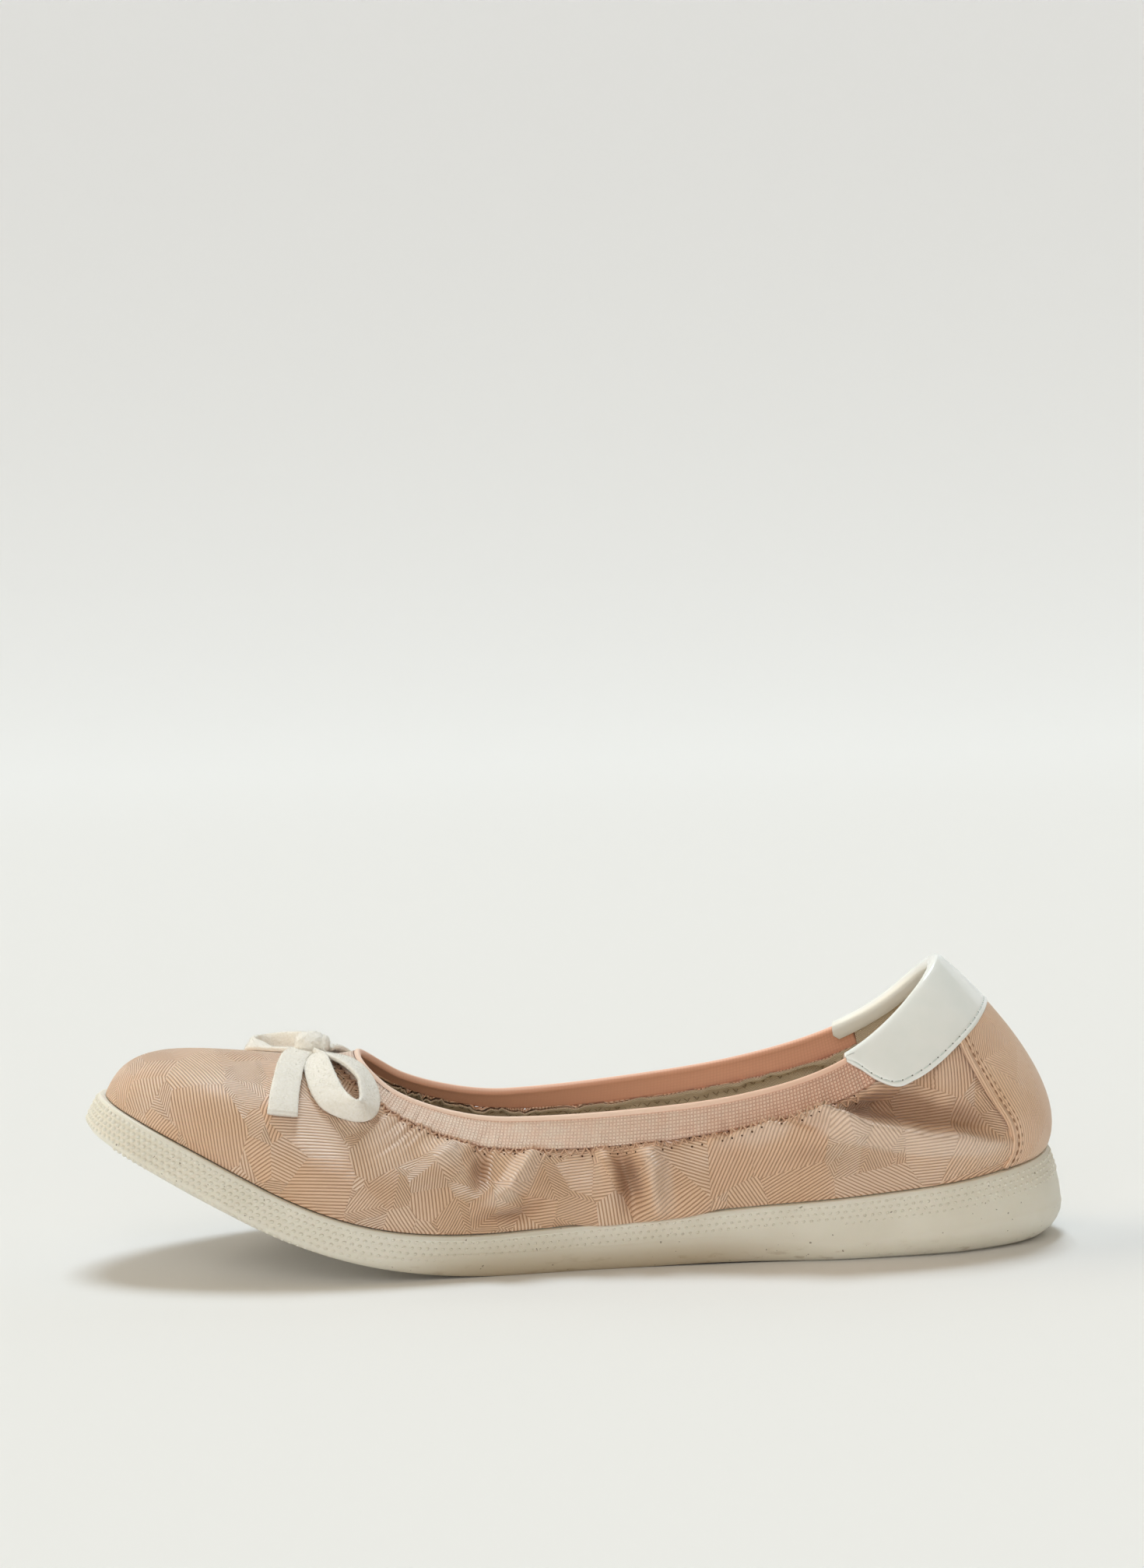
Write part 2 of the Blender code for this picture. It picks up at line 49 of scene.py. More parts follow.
# One row a spoke, from the toe tip along the inner side to the back of the heel.
# Sole: edge s, inner edge y, rim height, flare, corner radius, outer edge y.
soleHalf = np.array([
    (220.0, 3.0, 8.6, 0.4, 2.0, 3.0),
    (217.0, 13.8, 8.8, 0.4, 2.0, -8.6),
    (208.0, 23.6, 9.2, 0.5, 2.0, -19.6),
    (192.0, 32.6, 9.6, 0.6, 2.0, -30.6),
    (168.0, 39.6, 9.3, 0.8, 2.0, -40.2),
    (142.0, 42.5, 9.2, 1.0, 2.0, -44.5),
    (112.0, 38.5, 10.2, 1.2, 2.0, -43.5),
    (80.0, 33.0, 11.5, 1.4, 2.0, -38.0),
    (48.0, 31.0, 13.6, 1.6, 2.5, -33.0),
    (15.0, 30.5, 15.8, 2.0, 4.5, -31.0),
    (-12.0, 26.3, 18.6, 2.6, 7.5, -26.6),
    (-28.0, 14.6, 21.2, 3.0, 8.5, -14.6),
    (-32.6, 0.0, 22.6, 3.0, 8.5, 0.0),
])
# Wall: topline s, y, h, then the pull and lean at the foot, then the pull and slope at the topline.
wallHalf = np.array([
    (160.0, 0.0, 44.7, 18.0, 3.0, 46.0, 24.0),
    (159.2, 4.2, 44.2, 18.0, 3.0, 44.0, 25.0),
    (156.5, 8.4, 43.2, 17.0, 4.0, 39.0, 26.0),
    (151.5, 12.0, 41.7, 17.0, 4.0, 33.0, 27.0),
    (143.0, 15.3, 39.7, 17.0, 5.0, 26.0, 31.0),
    (128.0, 18.5, 38.2, 16.0, 6.0, 17.0, 40.0),
    (106.0, 21.8, 37.3, 13.0, 8.0, 12.0, 54.0),
    (78.0, 25.0, 38.5, 11.0, 10.0, 10.0, 68.0),
    (48.0, 26.8, 41.8, 10.0, 9.0, 10.0, 72.0),
    (23.0, 26.0, 48.9, 12.0, 7.0, 13.0, 66.0),
    (8.0, 19.0, 58.1, 13.0, 13.0, 17.0, 54.0),
    (-2.0, 9.8, 67.6, 14.0, 24.0, 19.0, 44.0),
    (-5.0, 0.0, 70.9, 14.0, 28.0, 19.0, 41.0),
])
heelBack = len(soleHalf) - 1
spokes = 2 * heelBack
soleTable = np.concatenate([soleHalf[:, :5], soleHalf[-2:0:-1, [0, 5, 2, 3, 4]]])
wallTable = np.concatenate([wallHalf, wallHalf[-2:0:-1] * (1, -1, 1, 1, 1, 1, 1)])
# The collar stands a little higher on the outer side, and the wall meets it less steeply there.
wallTable[15:18, 2] += (0.6, 1.0, 0.5)
wallTable[17:21, 6] -= (2.0, 4.0, 2.0, 1.0)
edgeSpans = np.linalg.norm(np.roll(soleTable[:, :2], -1, axis=0) - soleTable[:, :2], axis=1)


def bend(points):
    s, y, h = points[..., 0], points[..., 1], points[..., 2]
    turn = np.clip((s - spring["start"]) / spring["radius"], 0.0, spring["angle"])
    along = np.minimum(s, spring["start"])
    beyond = np.maximum(s - spring["start"] - spring["radius"] * spring["angle"], 0.0)
    reach = spring["radius"] - h
    x = along + reach * np.sin(turn) + beyond * np.cos(turn)
    z = spring["radius"] - reach * np.cos(turn) + beyond * np.sin(turn)
    return np.stack([x, y, z], -1)


def archLift(s):
    share = np.clip((s - arch["start"]) / (arch["end"] - arch["start"]), 0.0, 1.0)
    return arch["height"] * np.sin(math.pi * share) ** 2


def smooth(value, low, high):
    share = np.clip((value - low) / (high - low), 0.0, 1.0)
    return share * share * (3 - 2 * share)


def hump(value, start, full, last, end):
    return smooth(value, start, full) * (1 - smooth(value, last, end))


def unit(vectors):
    return vectors / np.maximum(np.linalg.norm(vectors, axis=-1, keepdims=True), 1e-9)


def lengthAlong(points, axis=0):
    # The length of a line up to each of its points.
    steps = np.linalg.norm(np.diff(points, axis=axis), axis=-1)
    return np.insert(np.cumsum(steps, axis), 0, 0.0, axis)


def quarterTurn(steps):
    # Sine and cosine at even steps up to a quarter turn.
    turns = [math.pi / 2 * k / steps for k in range(1, steps + 1)]
    return [(math.sin(turn), math.cos(turn)) for turn in turns]


def hermite(a, b, c, d, span0, span1, span2, t):
    into, over, out = (b - a) / span0, (c - b) / span1, (d - c) / span2
    leave = (over * span0 + into * span1) / (span0 + span1) * span1
    arrive = (out * span1 + over * span2) / (span1 + span2) * span1
    return (
        b * (2 * t**3 - 3 * t**2 + 1)
        + leave * (t**3 - 2 * t**2 + t)
        + c * (3 * t**2 - 2 * t**3)
        + arrive * (t**3 - t**2)
    )


def ringAt(table, places):
    # The table's columns at these places on the closed ring of spokes.
    places = np.asarray(places, float)
    i = np.floor(places).astype(int)
    near = [table[(i + k) % spokes] for k in (-1, 0, 1, 2)]
    gaps = [edgeSpans[(i + k) % spokes][..., None] for k in (-1, 0, 1)]
    return hermite(*near, *gaps, (places - i)[..., None])


def tableAt(rows, values):
    # An open table of (value, column, column...) on a smooth curve through its rows.
    rows, values = np.asarray(rows, float), np.asarray(values, float)
    rows = np.concatenate([2 * rows[:1] - rows[1:2], rows, 2 * rows[-1:] - rows[-2:-1]])
    i = np.clip(np.searchsorted(rows[:, 0], values, side="right") - 1, 1, len(rows) - 3)
    near = [rows[i + k] for k in (-1, 0, 1, 2)]
    gaps = [near[k + 1][..., :1] - near[k][..., :1] for k in (0, 1, 2)]
    t = np.clip((values[..., None] - near[1][..., :1]) / gaps[1], 0.0, 1.0)
    found = hermite(*near, *gaps, t)[..., 1:]
    return found[..., 0] if rows.shape[1] == 2 else found


def throughRows(rows, count):
    # Points on a smooth curve through rows of plain columns, evenly spread by the first three.
    rows = np.asarray(rows, float)
    along = lengthAlong(rows[:, :3])
    return tableAt(np.column_stack([along / along[-1], rows]), np.linspace(0, 1, count))


def ringPlaces(count):
    return np.arange(count) * spokes / count


def outward(table, places):
    run = unit(ringAt(table, places + 0.02)[..., :2] - ringAt(table, places - 0.02)[..., :2])
    return np.stack([run[..., 1], -run[..., 0]], -1)


def solePoint(places, inset, h):
    ring = ringAt(soleTable, places)
    plan = ring[..., :2] - outward(soleTable, places) * np.asarray(inset)[..., None]
    height = np.broadcast_to(np.asarray(h, float), plan.shape[:-1])
    return bend(np.concatenate([plan, height[..., None]], -1))


def wallCurves(places):
    rim, wall = ringAt(soleTable, places), ringAt(wallTable, places)
    outFoot, outTop = outward(soleTable, places), outward(wallTable, places)
    lean, slope = np.radians(wall[:, 4:5]), np.radians(wall[:, 6:7])
    foot = np.concatenate([rim[:, :2] - outFoot * edge["ledge"], rim[:, 2:3] + edge["gap"]], 1)
    top = wall[:, :3]
    leave = np.concatenate([outFoot * np.sin(lean), np.cos(lean)], 1) * wall[:, 3:4]
    arrive = np.concatenate([outTop * np.cos(slope), -np.sin(slope)], 1) * wall[:, 5:6]
    t = np.linspace(0, 1, edge["steps"] + 1)[None, :, None]
    corners = [c[:, None] for c in (top, top + arrive, foot + leave, foot)]
    weights = ((1 - t) ** 3, 3 * t * (1 - t) ** 2, 3 * t * t * (1 - t), t**3)
    points = bend(sum(c * w for c, w in zip(corners, weights)))
    return points, lengthAlong(points, 1)


def wallLength(places):
    return wallCurves(np.asarray(places, float))[1][:, -1]


def onWall(places, downs):
    # Points of the wall for columns at these places and rows this far down from the topline.
    points, lengths = wallCurves(places)
    k = np.clip((lengths[:, None, :] < downs[..., None]).sum(-1) - 1, 0, edge["steps"] - 1)
    column = np.arange(len(places))[:, None]
    start, end = lengths[column, k], lengths[column, k + 1]
    share = ((downs - start) / (end - start))[..., None]
    return points[column, k] * (1 - share) + points[column, k + 1] * share


def wallNormals(places, downs):
    aside, below = 0.06, 0.6
    full = wallLength(places)[:, None]
    near = (places + aside, places - aside)
    ends = [onWall(spot, downs / full * wallLength(spot)[:, None]) for spot in near]
    drop = onWall(places, np.minimum(downs + below, full)) - onWall(places, downs - below)
    return unit(np.cross(drop, ends[0] - ends[1]))


def offWall(places, downs, outs):
    return onWall(places, downs) + wallNormals(places, downs) * np.asarray(outs)[..., None]


def mirrored(places):
    places = np.mod(places, spokes)
    return np.minimum(places, spokes - places)


def signed(places):
    # Places from the toe: plus on the inner side, minus on the outer side.
    return np.mod(places + heelBack, spokes) - heelBack


print("wall functions ready")

# The upper laid flat, so that a cloth pattern keeps its size all over it.
flatPattern = {"columns": 96, "rows": 16, "rounds": 2500, "even": 0.02, "pull": 0.12}


def relaxFlat():
    places = np.linspace(-heelBack, heelBack, flatPattern["columns"] + 1)
    shares = np.linspace(0, 1, flatPattern["rows"] + 1)
    downs = shares[None] * wallLength(places)[:, None]
    solid = onWall(places, downs)
    flat = solid[:, :1, :2] + outward(wallTable, places)[:, None] * downs[..., None]
    whole, head, tail = slice(None), slice(None, -1), slice(1, None)
    links = [
        ((head, whole), (tail, whole)),
        ((whole, head), (whole, tail)),
        ((head, head), (tail, tail)),
        ((head, tail), (tail, head)),
    ]
    rests = [np.linalg.norm(solid[a] - solid[b], axis=-1) for a, b in links]
    for _ in range(flatPattern["rounds"]):
        push = np.zeros_like(flat)
        push[1:-1] += flatPattern["even"] * (flat[2:] + flat[:-2] - 2 * flat[1:-1])
        for (a, b), rest in zip(links, rests):
            gap = flat[b] - flat[a]
            length = np.linalg.norm(gap, axis=-1)
            pull = gap * ((length - rest) / np.maximum(length, 1e-6))[..., None] * flatPattern["pull"]
            push[a] += pull
            push[b] -= pull
        flat += push
    return flat


flatSheet = relaxFlat()


def clothAt(places, downs):
    # Where a point of the wall falls on the flat cloth, in millimetres.
    share = downs / wallLength(places)[:, None]
    turned = np.where(places == heelBack, places, signed(places))
    x = np.broadcast_to(((turned + heelBack) / spokes * flatPattern["columns"])[:, None], share.shape)
    y = share * flatPattern["rows"]
    return sampleSheet(flatSheet, x, y)


def sampleSheet(sheet, x, y):
    columns, rows = sheet.shape[0] - 1, sheet.shape[1] - 1
    i, j = np.clip(np.floor(x), 0, columns - 1).astype(int), np.clip(np.floor(y), 0, rows - 1).astype(int)
    tx, ty = (x - i)[..., None], (y - j)[..., None]
    found = []
    for k in (-1, 0, 1, 2):
        lines = [sheet[np.clip(i + k, 0, columns), np.clip(j + m, 0, rows)] for m in (-1, 0, 1, 2)]
        found.append(hermite(*lines, 1.0, 1.0, 1.0, ty))
    return hermite(*found, 1.0, 1.0, 1.0, tx)


print("cloth pattern laid flat")


def gridFaces(columns, rows, closedColumns, closedRows):
    i = np.arange(columns if closedColumns else columns - 1)[:, None]
    j = np.arange(rows if closedRows else rows - 1)[None]
    near, far = i * rows, (i + 1) * rows
    turn = (j + 1) % rows
    quads = np.stack(np.broadcast_arrays(near + j, near + turn, far + turn, far + j), -1)
    return (quads.reshape(-1, 4) % (columns * rows)).tolist()


def capFaces(columns, rows):
    # Closes both ends of a loft whose rows run round a section.
    last = (columns - 1) * rows
    quads = []
    for j in range(rows // 2 - 1):
        quads.append((j, rows - 1 - j, rows - 2 - j, j + 1))
        quads.append((last + j, last + j + 1, last + rows - 2 - j, last + rows - 1 - j))
    return quads


def newObject(name, mesh):
    thing = bpy.data.objects.new(name, mesh)
    bpy.context.scene.collection.objects.link(thing)
    return thing


def newMesh(name, points, faces, cloth=None):
    # Points come in millimetres. cloth gives each point its place on the flat cloth, kept as the UV map.
    mesh = bpy.data.meshes.new(name)
    mesh.from_pydata((np.asarray(points).reshape(-1, 3) * mm).tolist(), [], faces)
    if cloth is not None:
        layer = mesh.uv_layers.new(name="cloth")
        index = np.empty(len(mesh.loops), np.int32)
        mesh.loops.foreach_get("vertex_index", index)
        layer.data.foreach_set("uv", np.asarray(cloth, np.float32).reshape(-1, 2)[index].ravel())
    mesh.polygons.foreach_set("use_smooth", np.ones(len(mesh.polygons), bool))
    faceOut(mesh)
    return newObject(name, mesh)


def faceOut(mesh):
    mesh.calc_loop_triangles()
    points = np.empty(len(mesh.vertices) * 3)
    mesh.vertices.foreach_get("co", points)
    index = np.empty(len(mesh.loop_triangles) * 3, np.int32)
    mesh.loop_triangles.foreach_get("vertices", index)
    corners = points.reshape(-1, 3)[index.reshape(-1, 3)]
    if np.linalg.det(corners).sum() < 0:
        mesh.flip_normals()


def closedShell(name, outer, inner, cloth, clothInner):
    # A skin round the whole shoe: outer and inner are grids with rows from the top down.
    section = np.concatenate([outer, inner[:, ::-1]], 1)
    flat = np.concatenate([cloth, clothInner[:, ::-1]], 1)
    return newMesh(name, section, gridFaces(*section.shape[:2], True, True), flat)


def openLoft(name, sections, cloth=None):
    columns, rows = sections.shape[:2]
    return newMesh(name, sections, gridFaces(columns, rows, False, True) + capFaces(columns, rows), cloth)


def wear(thing, finish, slotName, *nodes):
    thing.data.materials.clear()
    thing.data.materials.append(finish.material)
    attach(thing, "root")
    if nodes:
        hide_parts(*nodes)
    print(thing.name, len(thing.data.polygons))
    return thing


class Signal:
    # A node's socket that takes part in sums: each operator adds its own Math node.
    def __init__(self, graph, socket):
        self.graph, self.socket = graph, socket

    def maths(self, operation, *others):
        return self.graph.add("ShaderNodeMath", {"operation": operation}, [self, *others])

    def __add__(self, other):
        return self.maths("ADD", other)

    def __sub__(self, other):
        return self.maths("SUBTRACT", other)

    def __rsub__(self, other):
        return self.graph.add("ShaderNodeMath", {"operation": "SUBTRACT"}, [other, self])

    def __mul__(self, other):
        return self.maths("MULTIPLY", other)

    def __truediv__(self, other):
        return self.maths("DIVIDE", other)

    def __mod__(self, other):
        return self.maths("MODULO", other)

    def __gt__(self, other):
        return self.maths("GREATER_THAN", other)

    def __neg__(self):
        return self.maths("MULTIPLY", -1.0)

    __radd__ = __add__
    __rmul__ = __mul__

    def sine(self):
        return self.maths("SINE")

    def cosine(self):
        return self.maths("COSINE")

    def size(self):
        return self.maths("ABSOLUTE")

    def wrapped(self):
        return self.maths("FRACT")

    def floored(self):
        return self.maths("FLOOR")

    def tent(self):
        # Falls from 1 at each whole number to 0 halfway between.
        return (self.wrapped() - 0.5).size() * 2.0

    def between(self, low, high):
        inputs = {0: self, 1: low, 2: high}
        return self.graph.add("ShaderNodeMapRange", {"interpolation_type": "SMOOTHSTEP"}, inputs)


class Graph:
    # A node tree, of a finish or of a pattern.
    def __init__(self, tree):
        self.tree = tree

    def add(self, kind, settings, inputs, output=0):
        node = self.tree.nodes.new(kind)
        for key, value in settings.items():
            setattr(node, key, value)
        for key, value in inputs.items() if isinstance(inputs, dict) else enumerate(inputs):
            self.join(value, node.inputs[key])
        return Signal(self, node.outputs[output])

    def join(self, value, socket):
        if isinstance(value, Signal):
            self.tree.links.new(value.socket, socket)
        else:
            socket.default_value = value

    def vector(self, operation, first, second=None, output=0):
        inputs = {0: first} if second is None else {0: first, 1: second}
        return self.add("ShaderNodeVectorMath", {"operation": operation}, inputs, output)

    def scaled(self, vector, factor):
        return self.add("ShaderNodeVectorMath", {"operation": "SCALE"}, {0: vector, "Scale": factor})


class Finish(Graph):
    def __init__(self, name, **values):
        self.material = bpy.data.materials.new(name)
        self.material.use_nodes = True
        super().__init__(self.material.node_tree)
        self.shader = self.tree.nodes["Principled BSDF"]
        for socket, value in values.items():
            self.shader.inputs[socket.replace("_", " ")].default_value = value

    def feed(self, socket, signal):
        self.join(signal, self.shader.inputs[socket])

    def mix(self, share, first, second):
        first = first if isinstance(first, Signal) else (*first, 1.0)
        second = second if isinstance(second, Signal) else (*second, 1.0)
        return self.add("ShaderNodeMix", {"data_type": "RGBA"}, {0: share, 6: first, 7: second}, 2)

    def cloth(self):
        return self.add("ShaderNodeUVMap", {"uv_map": "cloth"}, {})

    def place(self):
        return self.add("ShaderNodeTexCoord", {}, {}, "Object")

    def part(self, vector, axis):
        return self.add("ShaderNodeSeparateXYZ", {}, [vector], axis)

    def mapped(self, vector, shift, scale):
        return self.add("ShaderNodeMapping", {}, {"Vector": vector, "Location": shift, "Scale": scale})

    def noise(self, vector, scale, detail=2.0):
        return self.add("ShaderNodeTexNoise", {}, {"Vector": vector, "Scale": scale, "Detail": detail})

    def bump(self, height, distance, under=None):
        inputs = {"Height": height, "Distance": distance}
        if under is not None:
            inputs["Normal"] = under
        return self.add("ShaderNodeBump", {}, inputs)


def linear(red, green, blue):
    # A colour as a screen shows it, in 0 to 255, made linear for the shader.
    return tuple(((c / 255 + 0.055) / 1.055) ** 2.4 for c in (red, green, blue))


def mottled(name, scale, colours, **values):
    # A plain finish whose colour wanders between two.
    finish = Finish(name, **values)
    finish.feed("Base Color", finish.mix(finish.noise(finish.place(), scale), *colours))
    return finish


def facetLines(finish, uv, settings):
    # Parallel lines in straight-edged patches, each turned its own way and some of them folded.
    def patches(size, shift):
        spot = finish.mapped(uv, (shift, shift * 0.7, 0.0), (1.0, settings["stretch"], 1.0))
        inputs = {"Vector": spot, "Scale": 1.0 / size, "Randomness": 1.0}
        colour = finish.add("ShaderNodeTexVoronoi", {"voronoi_dimensions": "2D"}, inputs, "Color")
        return [finish.add("ShaderNodeSeparateColor", {}, [colour], k) for k in (0, 1)]

    coarse, coarsePick = patches(settings["patch"], 11.0)
    fine, finePick = patches(settings["patch"] * settings["fine"], 47.0)
    useFine = coarsePick > settings["split"]
    pick = coarse + useFine * (fine - coarse)
    other = coarsePick + useFine * (finePick - coarsePick)
    turn = (pick * settings["turns"]).floored() * (math.pi / settings["turns"])
    angle = turn + other * settings["stray"]
    x, y = finish.part(uv, "X"), finish.part(uv, "Y")
    across = x * angle.cosine() + y * angle.sine()
    along = y * angle.cosine() - x * angle.sine()
    isFolded = other > 0.5
    folds = (along / settings["fold"] + other * 3.0).tent() * (settings["fold"] * 0.6) * isFolded
    phase = (across + folds) / settings["pitch"] / (1.0 + 0.15 * isFolded)
    return phase.tent(), (pick * 7.0 + other * 5.0).wrapped()


def satinFinish(name, settings):
    # Thin darker lines between raised threads, painted shade in the grooves, and a painted highlight on the
    # threads' tops, more in some patches than in others; some patches also get a painted shade all over.
    tint = (1.0, 0.93, 0.91, 1.0)
    finish = Finish(name, Sheen_Weight=0.35, Sheen_Roughness=0.3, IOR=1.65, Sheen_Tint=tint)
    uv, spot = finish.cloth(), finish.place()
    wave, tone = facetLines(finish, uv, settings)
    ridge, top = wave.between(0.08, 0.44), wave.between(0.5, 0.95)
    blotch = finish.noise(spot, 45.0, 3.0)
    base = finish.mix(blotch.between(0.35, 0.7), settings["tan"], settings["rose"])
    base = finish.mix(tone.between(0.3, 0.95) * (0.35 * settings["contrast"]), base, settings["shade"])
    # Painted highlight: the gleam colour on some patches and on the threads' tops.
    gleam = tone.between(0.9, 0.1) * (0.5 + 0.5 * blotch.between(0.4, 0.6))
    shine = (gleam * 0.15 + top * gleam * 0.55 + top * 0.2) * settings["contrast"]
    base = finish.mix(shine, base, settings["gleam"])
    # Painted shade in the grooves between the threads.
    base = finish.mix((1.0 - ridge) * settings["grooveShade"], base, settings["groove"])
    # The folds: painted shade in their troughs, painted highlight along their tops.
    hollow = finish.add("ShaderNodeAttribute", {"attribute_name": "hollow"}, {}, "Fac")
    base = finish.mix(hollow.between(0.1, 2.0) * 0.55, base, settings["foldShade"])
    finish.feed("Base Color", finish.mix(hollow.between(-0.1, -1.2) * 0.45, base, settings["gleam"]))
    finish.feed("Roughness", 0.47 - top * 0.15 - tone * 0.04)
    relief = finish.bump(ridge * 0.7 + top * 0.3, settings["relief"] * mm)
    finish.feed("Normal", finish.bump(finish.noise(spot, 2600.0), 0.03 * mm, relief))
    return finish


print("shader helpers ready")


class Pattern(Graph):
    # A Geometry Nodes tree with named sizes, laid over a guide object.
    def __init__(self, name, sizes):
        super().__init__(bpy.data.node_groups.new(name, "GeometryNodeTree"))
        face = self.tree.interface
        face.new_socket("Guide", in_out="INPUT", socket_type="NodeSocketGeometry")
        face.new_socket("Geometry", in_out="OUTPUT", socket_type="NodeSocketGeometry")
        for label in sizes:
            face.new_socket(label, in_out="INPUT", socket_type="NodeSocketFloat")
        face.new_socket("Finish", in_out="INPUT", socket_type="NodeSocketMaterial")
        self.start = self.tree.nodes.new("NodeGroupInput")
        self.end = self.tree.nodes.new("NodeGroupOutput")

    def given(self, label):
        return Signal(self, self.start.outputs[label])

    def attribute(self, name, kind):
        return self.add("GeometryNodeInputNamedAttribute", {"data_type": kind}, {"Name": name})

    def random(self, low, high, seed):
        return self.add("FunctionNodeRandomValue", {}, {2: low, 3: high, "Seed": seed}, 1)

    def beads(self, points):
        # A small oval on each point: long along run, flat against facing.
        run, facing = self.attribute("run", "FLOAT_VECTOR"), self.attribute("facing", "FLOAT_VECTOR")
        turn = self.add("FunctionNodeAlignRotationToVector", {"axis": "X"}, {"Vector": run})
        settings = {"axis": "Z", "pivot_axis": "X"}
        turn = self.add("FunctionNodeAlignRotationToVector", settings, {"Rotation": turn, "Vector": facing})
        size = self.attribute("size", "FLOAT")
        length = self.vector("LENGTH", run, output="Value") * self.given("Fill") * 0.5
        half = [length, self.given("Width") * 0.5, self.given("Height")]
        scale = self.scaled(self.add("ShaderNodeCombineXYZ", {}, half), size)
        bead = self.add("GeometryNodeMeshUVSphere", {}, {"Segments": 8, "Rings": 4, "Radius": 1.0})
        inputs = {"Points": points, "Instance": bead, "Rotation": turn, "Scale": scale}
        self.close(self.add("GeometryNodeInstanceOnPoints", {}, inputs))

    def close(self, instances):
        solid = self.add("GeometryNodeRealizeInstances", {}, [instances])
        solid = self.add("GeometryNodeSetShadeSmooth", {}, {"Geometry": solid, "Shade Smooth": True})
        inputs = {"Geometry": solid, "Material": self.given("Finish")}
        self.join(self.add("GeometryNodeSetMaterial", {}, inputs), self.end.inputs[0])

    def grow(self, name, guide, finish, sizes):
        modifier = guide.modifiers.new("pattern", "NODES")
        modifier.node_group = self.tree
        for item in self.tree.interface.items_tree:
            if item.name in sizes:
                modifier[item.identifier] = sizes[item.name]
            if item.name == "Finish":
                modifier[item.identifier] = finish.material
        graph = bpy.context.evaluated_depsgraph_get()
        mesh = bpy.data.meshes.new_from_object(guide.evaluated_get(graph), depsgraph=graph)
        for extra in [a.name for a in mesh.attributes if a.name in ("run", "facing", "size")]:
            mesh.attributes.remove(mesh.attributes[extra])
        guide.modifiers.clear()
        return newObject(name, mesh)


def stitchPattern():
    # Beads end to end along each line of the guide, set left and right of it by half of Zigzag.
    pattern = Pattern("stitches", ("Spacing", "Zigzag", "Wander", "Fill", "Width", "Height"))
    line = pattern.add("GeometryNodeMeshToCurve", {}, [pattern.given("Guide")])
    inputs = {"Curve": line, "Length": pattern.given("Spacing")}
    line = pattern.add("GeometryNodeResampleCurve", {"mode": "LENGTH"}, inputs)
    facing = pattern.attribute("facing", "FLOAT_VECTOR")
    tangent = pattern.add("GeometryNodeInputTangent", {}, {})
    aside = pattern.vector("NORMALIZE", pattern.vector("CROSS_PRODUCT", facing, tangent))
    index = pattern.add("GeometryNodeInputIndex", {}, {})
    swing = (index % 2.0 - 0.5) * pattern.given("Zigzag")
    swing = swing + pattern.random(-1.0, 1.0, 5) * pattern.given("Wander")
    inputs = {"Geometry": line, "Offset": pattern.scaled(aside, swing)}
    wire = pattern.add("GeometryNodeCurveToMesh", {}, [pattern.add("GeometryNodeSetPosition", {}, inputs)])
    first = pattern.add("GeometryNodeInputMeshEdgeVertices", {}, {}, "Position 1")
    second = pattern.add("GeometryNodeInputMeshEdgeVertices", {}, {}, "Position 2")
    settings = {"data_type": "FLOAT_VECTOR", "domain": "EDGE"}
    inputs = {"Geometry": wire, "Name": "run", "Value": pattern.vector("SUBTRACT", second, first)}
    wire = pattern.add("GeometryNodeStoreNamedAttribute", settings, inputs)
    pattern.beads(pattern.add("GeometryNodeMeshToPoints", {"mode": "EDGES"}, [wire]))
    return pattern


def studPattern():
    # One bead on each point of the guide.
    pattern = Pattern("studs", ("Fill", "Width", "Height"))
    pattern.beads(pattern.add("GeometryNodeMeshToPoints", {"mode": "VERTICES"}, [pattern.given("Guide")]))
    return pattern


def napPattern():
    # Short hairs standing off the guide's faces, each leaning its own way.
    pattern = Pattern("nap", ("Density", "Length", "Width", "Lean"))
    inputs = {"Mesh": pattern.given("Guide"), "Density": pattern.given("Density"), "Seed": 3}
    points = pattern.add("GeometryNodeDistributePointsOnFaces", {}, inputs)
    turn = Signal(pattern, points.socket.node.outputs["Rotation"])
    tilt = [pattern.random(-1.0, 1.0, seed) * pattern.given("Lean") for seed in (1, 2)]
    tilt = pattern.add("ShaderNodeCombineXYZ", {}, tilt)
    turn = pattern.add("FunctionNodeRotateRotation", {"rotation_space": "LOCAL"}, [turn, tilt])
    sizes = {"Vertices": 3, "Radius Bottom": pattern.given("Width") * 0.5, "Depth": pattern.given("Length")}
    hair = pattern.add("GeometryNodeMeshCone", {"fill_type": "NGON"}, sizes)
    inputs = {"Points": points, "Instance": hair, "Rotation": turn}
    hairs = pattern.add("GeometryNodeInstanceOnPoints", {}, inputs)
    inputs = {"Instances": hairs, "Scale": pattern.random(0.45, 1.2, 4)}
    pattern.close(pattern.add("GeometryNodeScaleInstances", {}, inputs))
    return pattern


def guideObject(name, points, edges, **attributes):
    mesh = bpy.data.meshes.new(name)
    mesh.from_pydata((np.asarray(points) * mm).tolist(), edges, [])
    for label, values in attributes.items():
        values = np.asarray(values, np.float32)
        kind, field = ("FLOAT_VECTOR", "vector") if values.ndim == 2 else ("FLOAT", "value")
        mesh.attributes.new(label, kind, "POINT").data.foreach_set(field, values.ravel())
    return newObject(name, mesh)


stitches, studs, nap = stitchPattern(), studPattern(), napPattern()


def inMetres(sizes):
    # A pattern's sizes, of which Fill is a share.
    return {label: value if label == "Fill" else value * mm for label, value in sizes.items()}


def sew(name, lines, finish, slotName, sizes):
    # Each line is its points and their facings, in millimetres.
    points, edges = [], []
    for line, _ in lines:
        start = len(points)
        points += line.tolist()
        edges += [(k, k + 1) for k in range(start, len(points) - 1)]
    facing = np.concatenate([towards for _, towards in lines])
    guide = guideObject(name + "_guide", points, edges, facing=facing, size=np.ones(len(points)))
    thing = stitches.grow(name, guide, finish, inMetres(sizes))
    bpy.data.objects.remove(guide)
    return wear(thing, finish, slotName)


print("patterns ready")

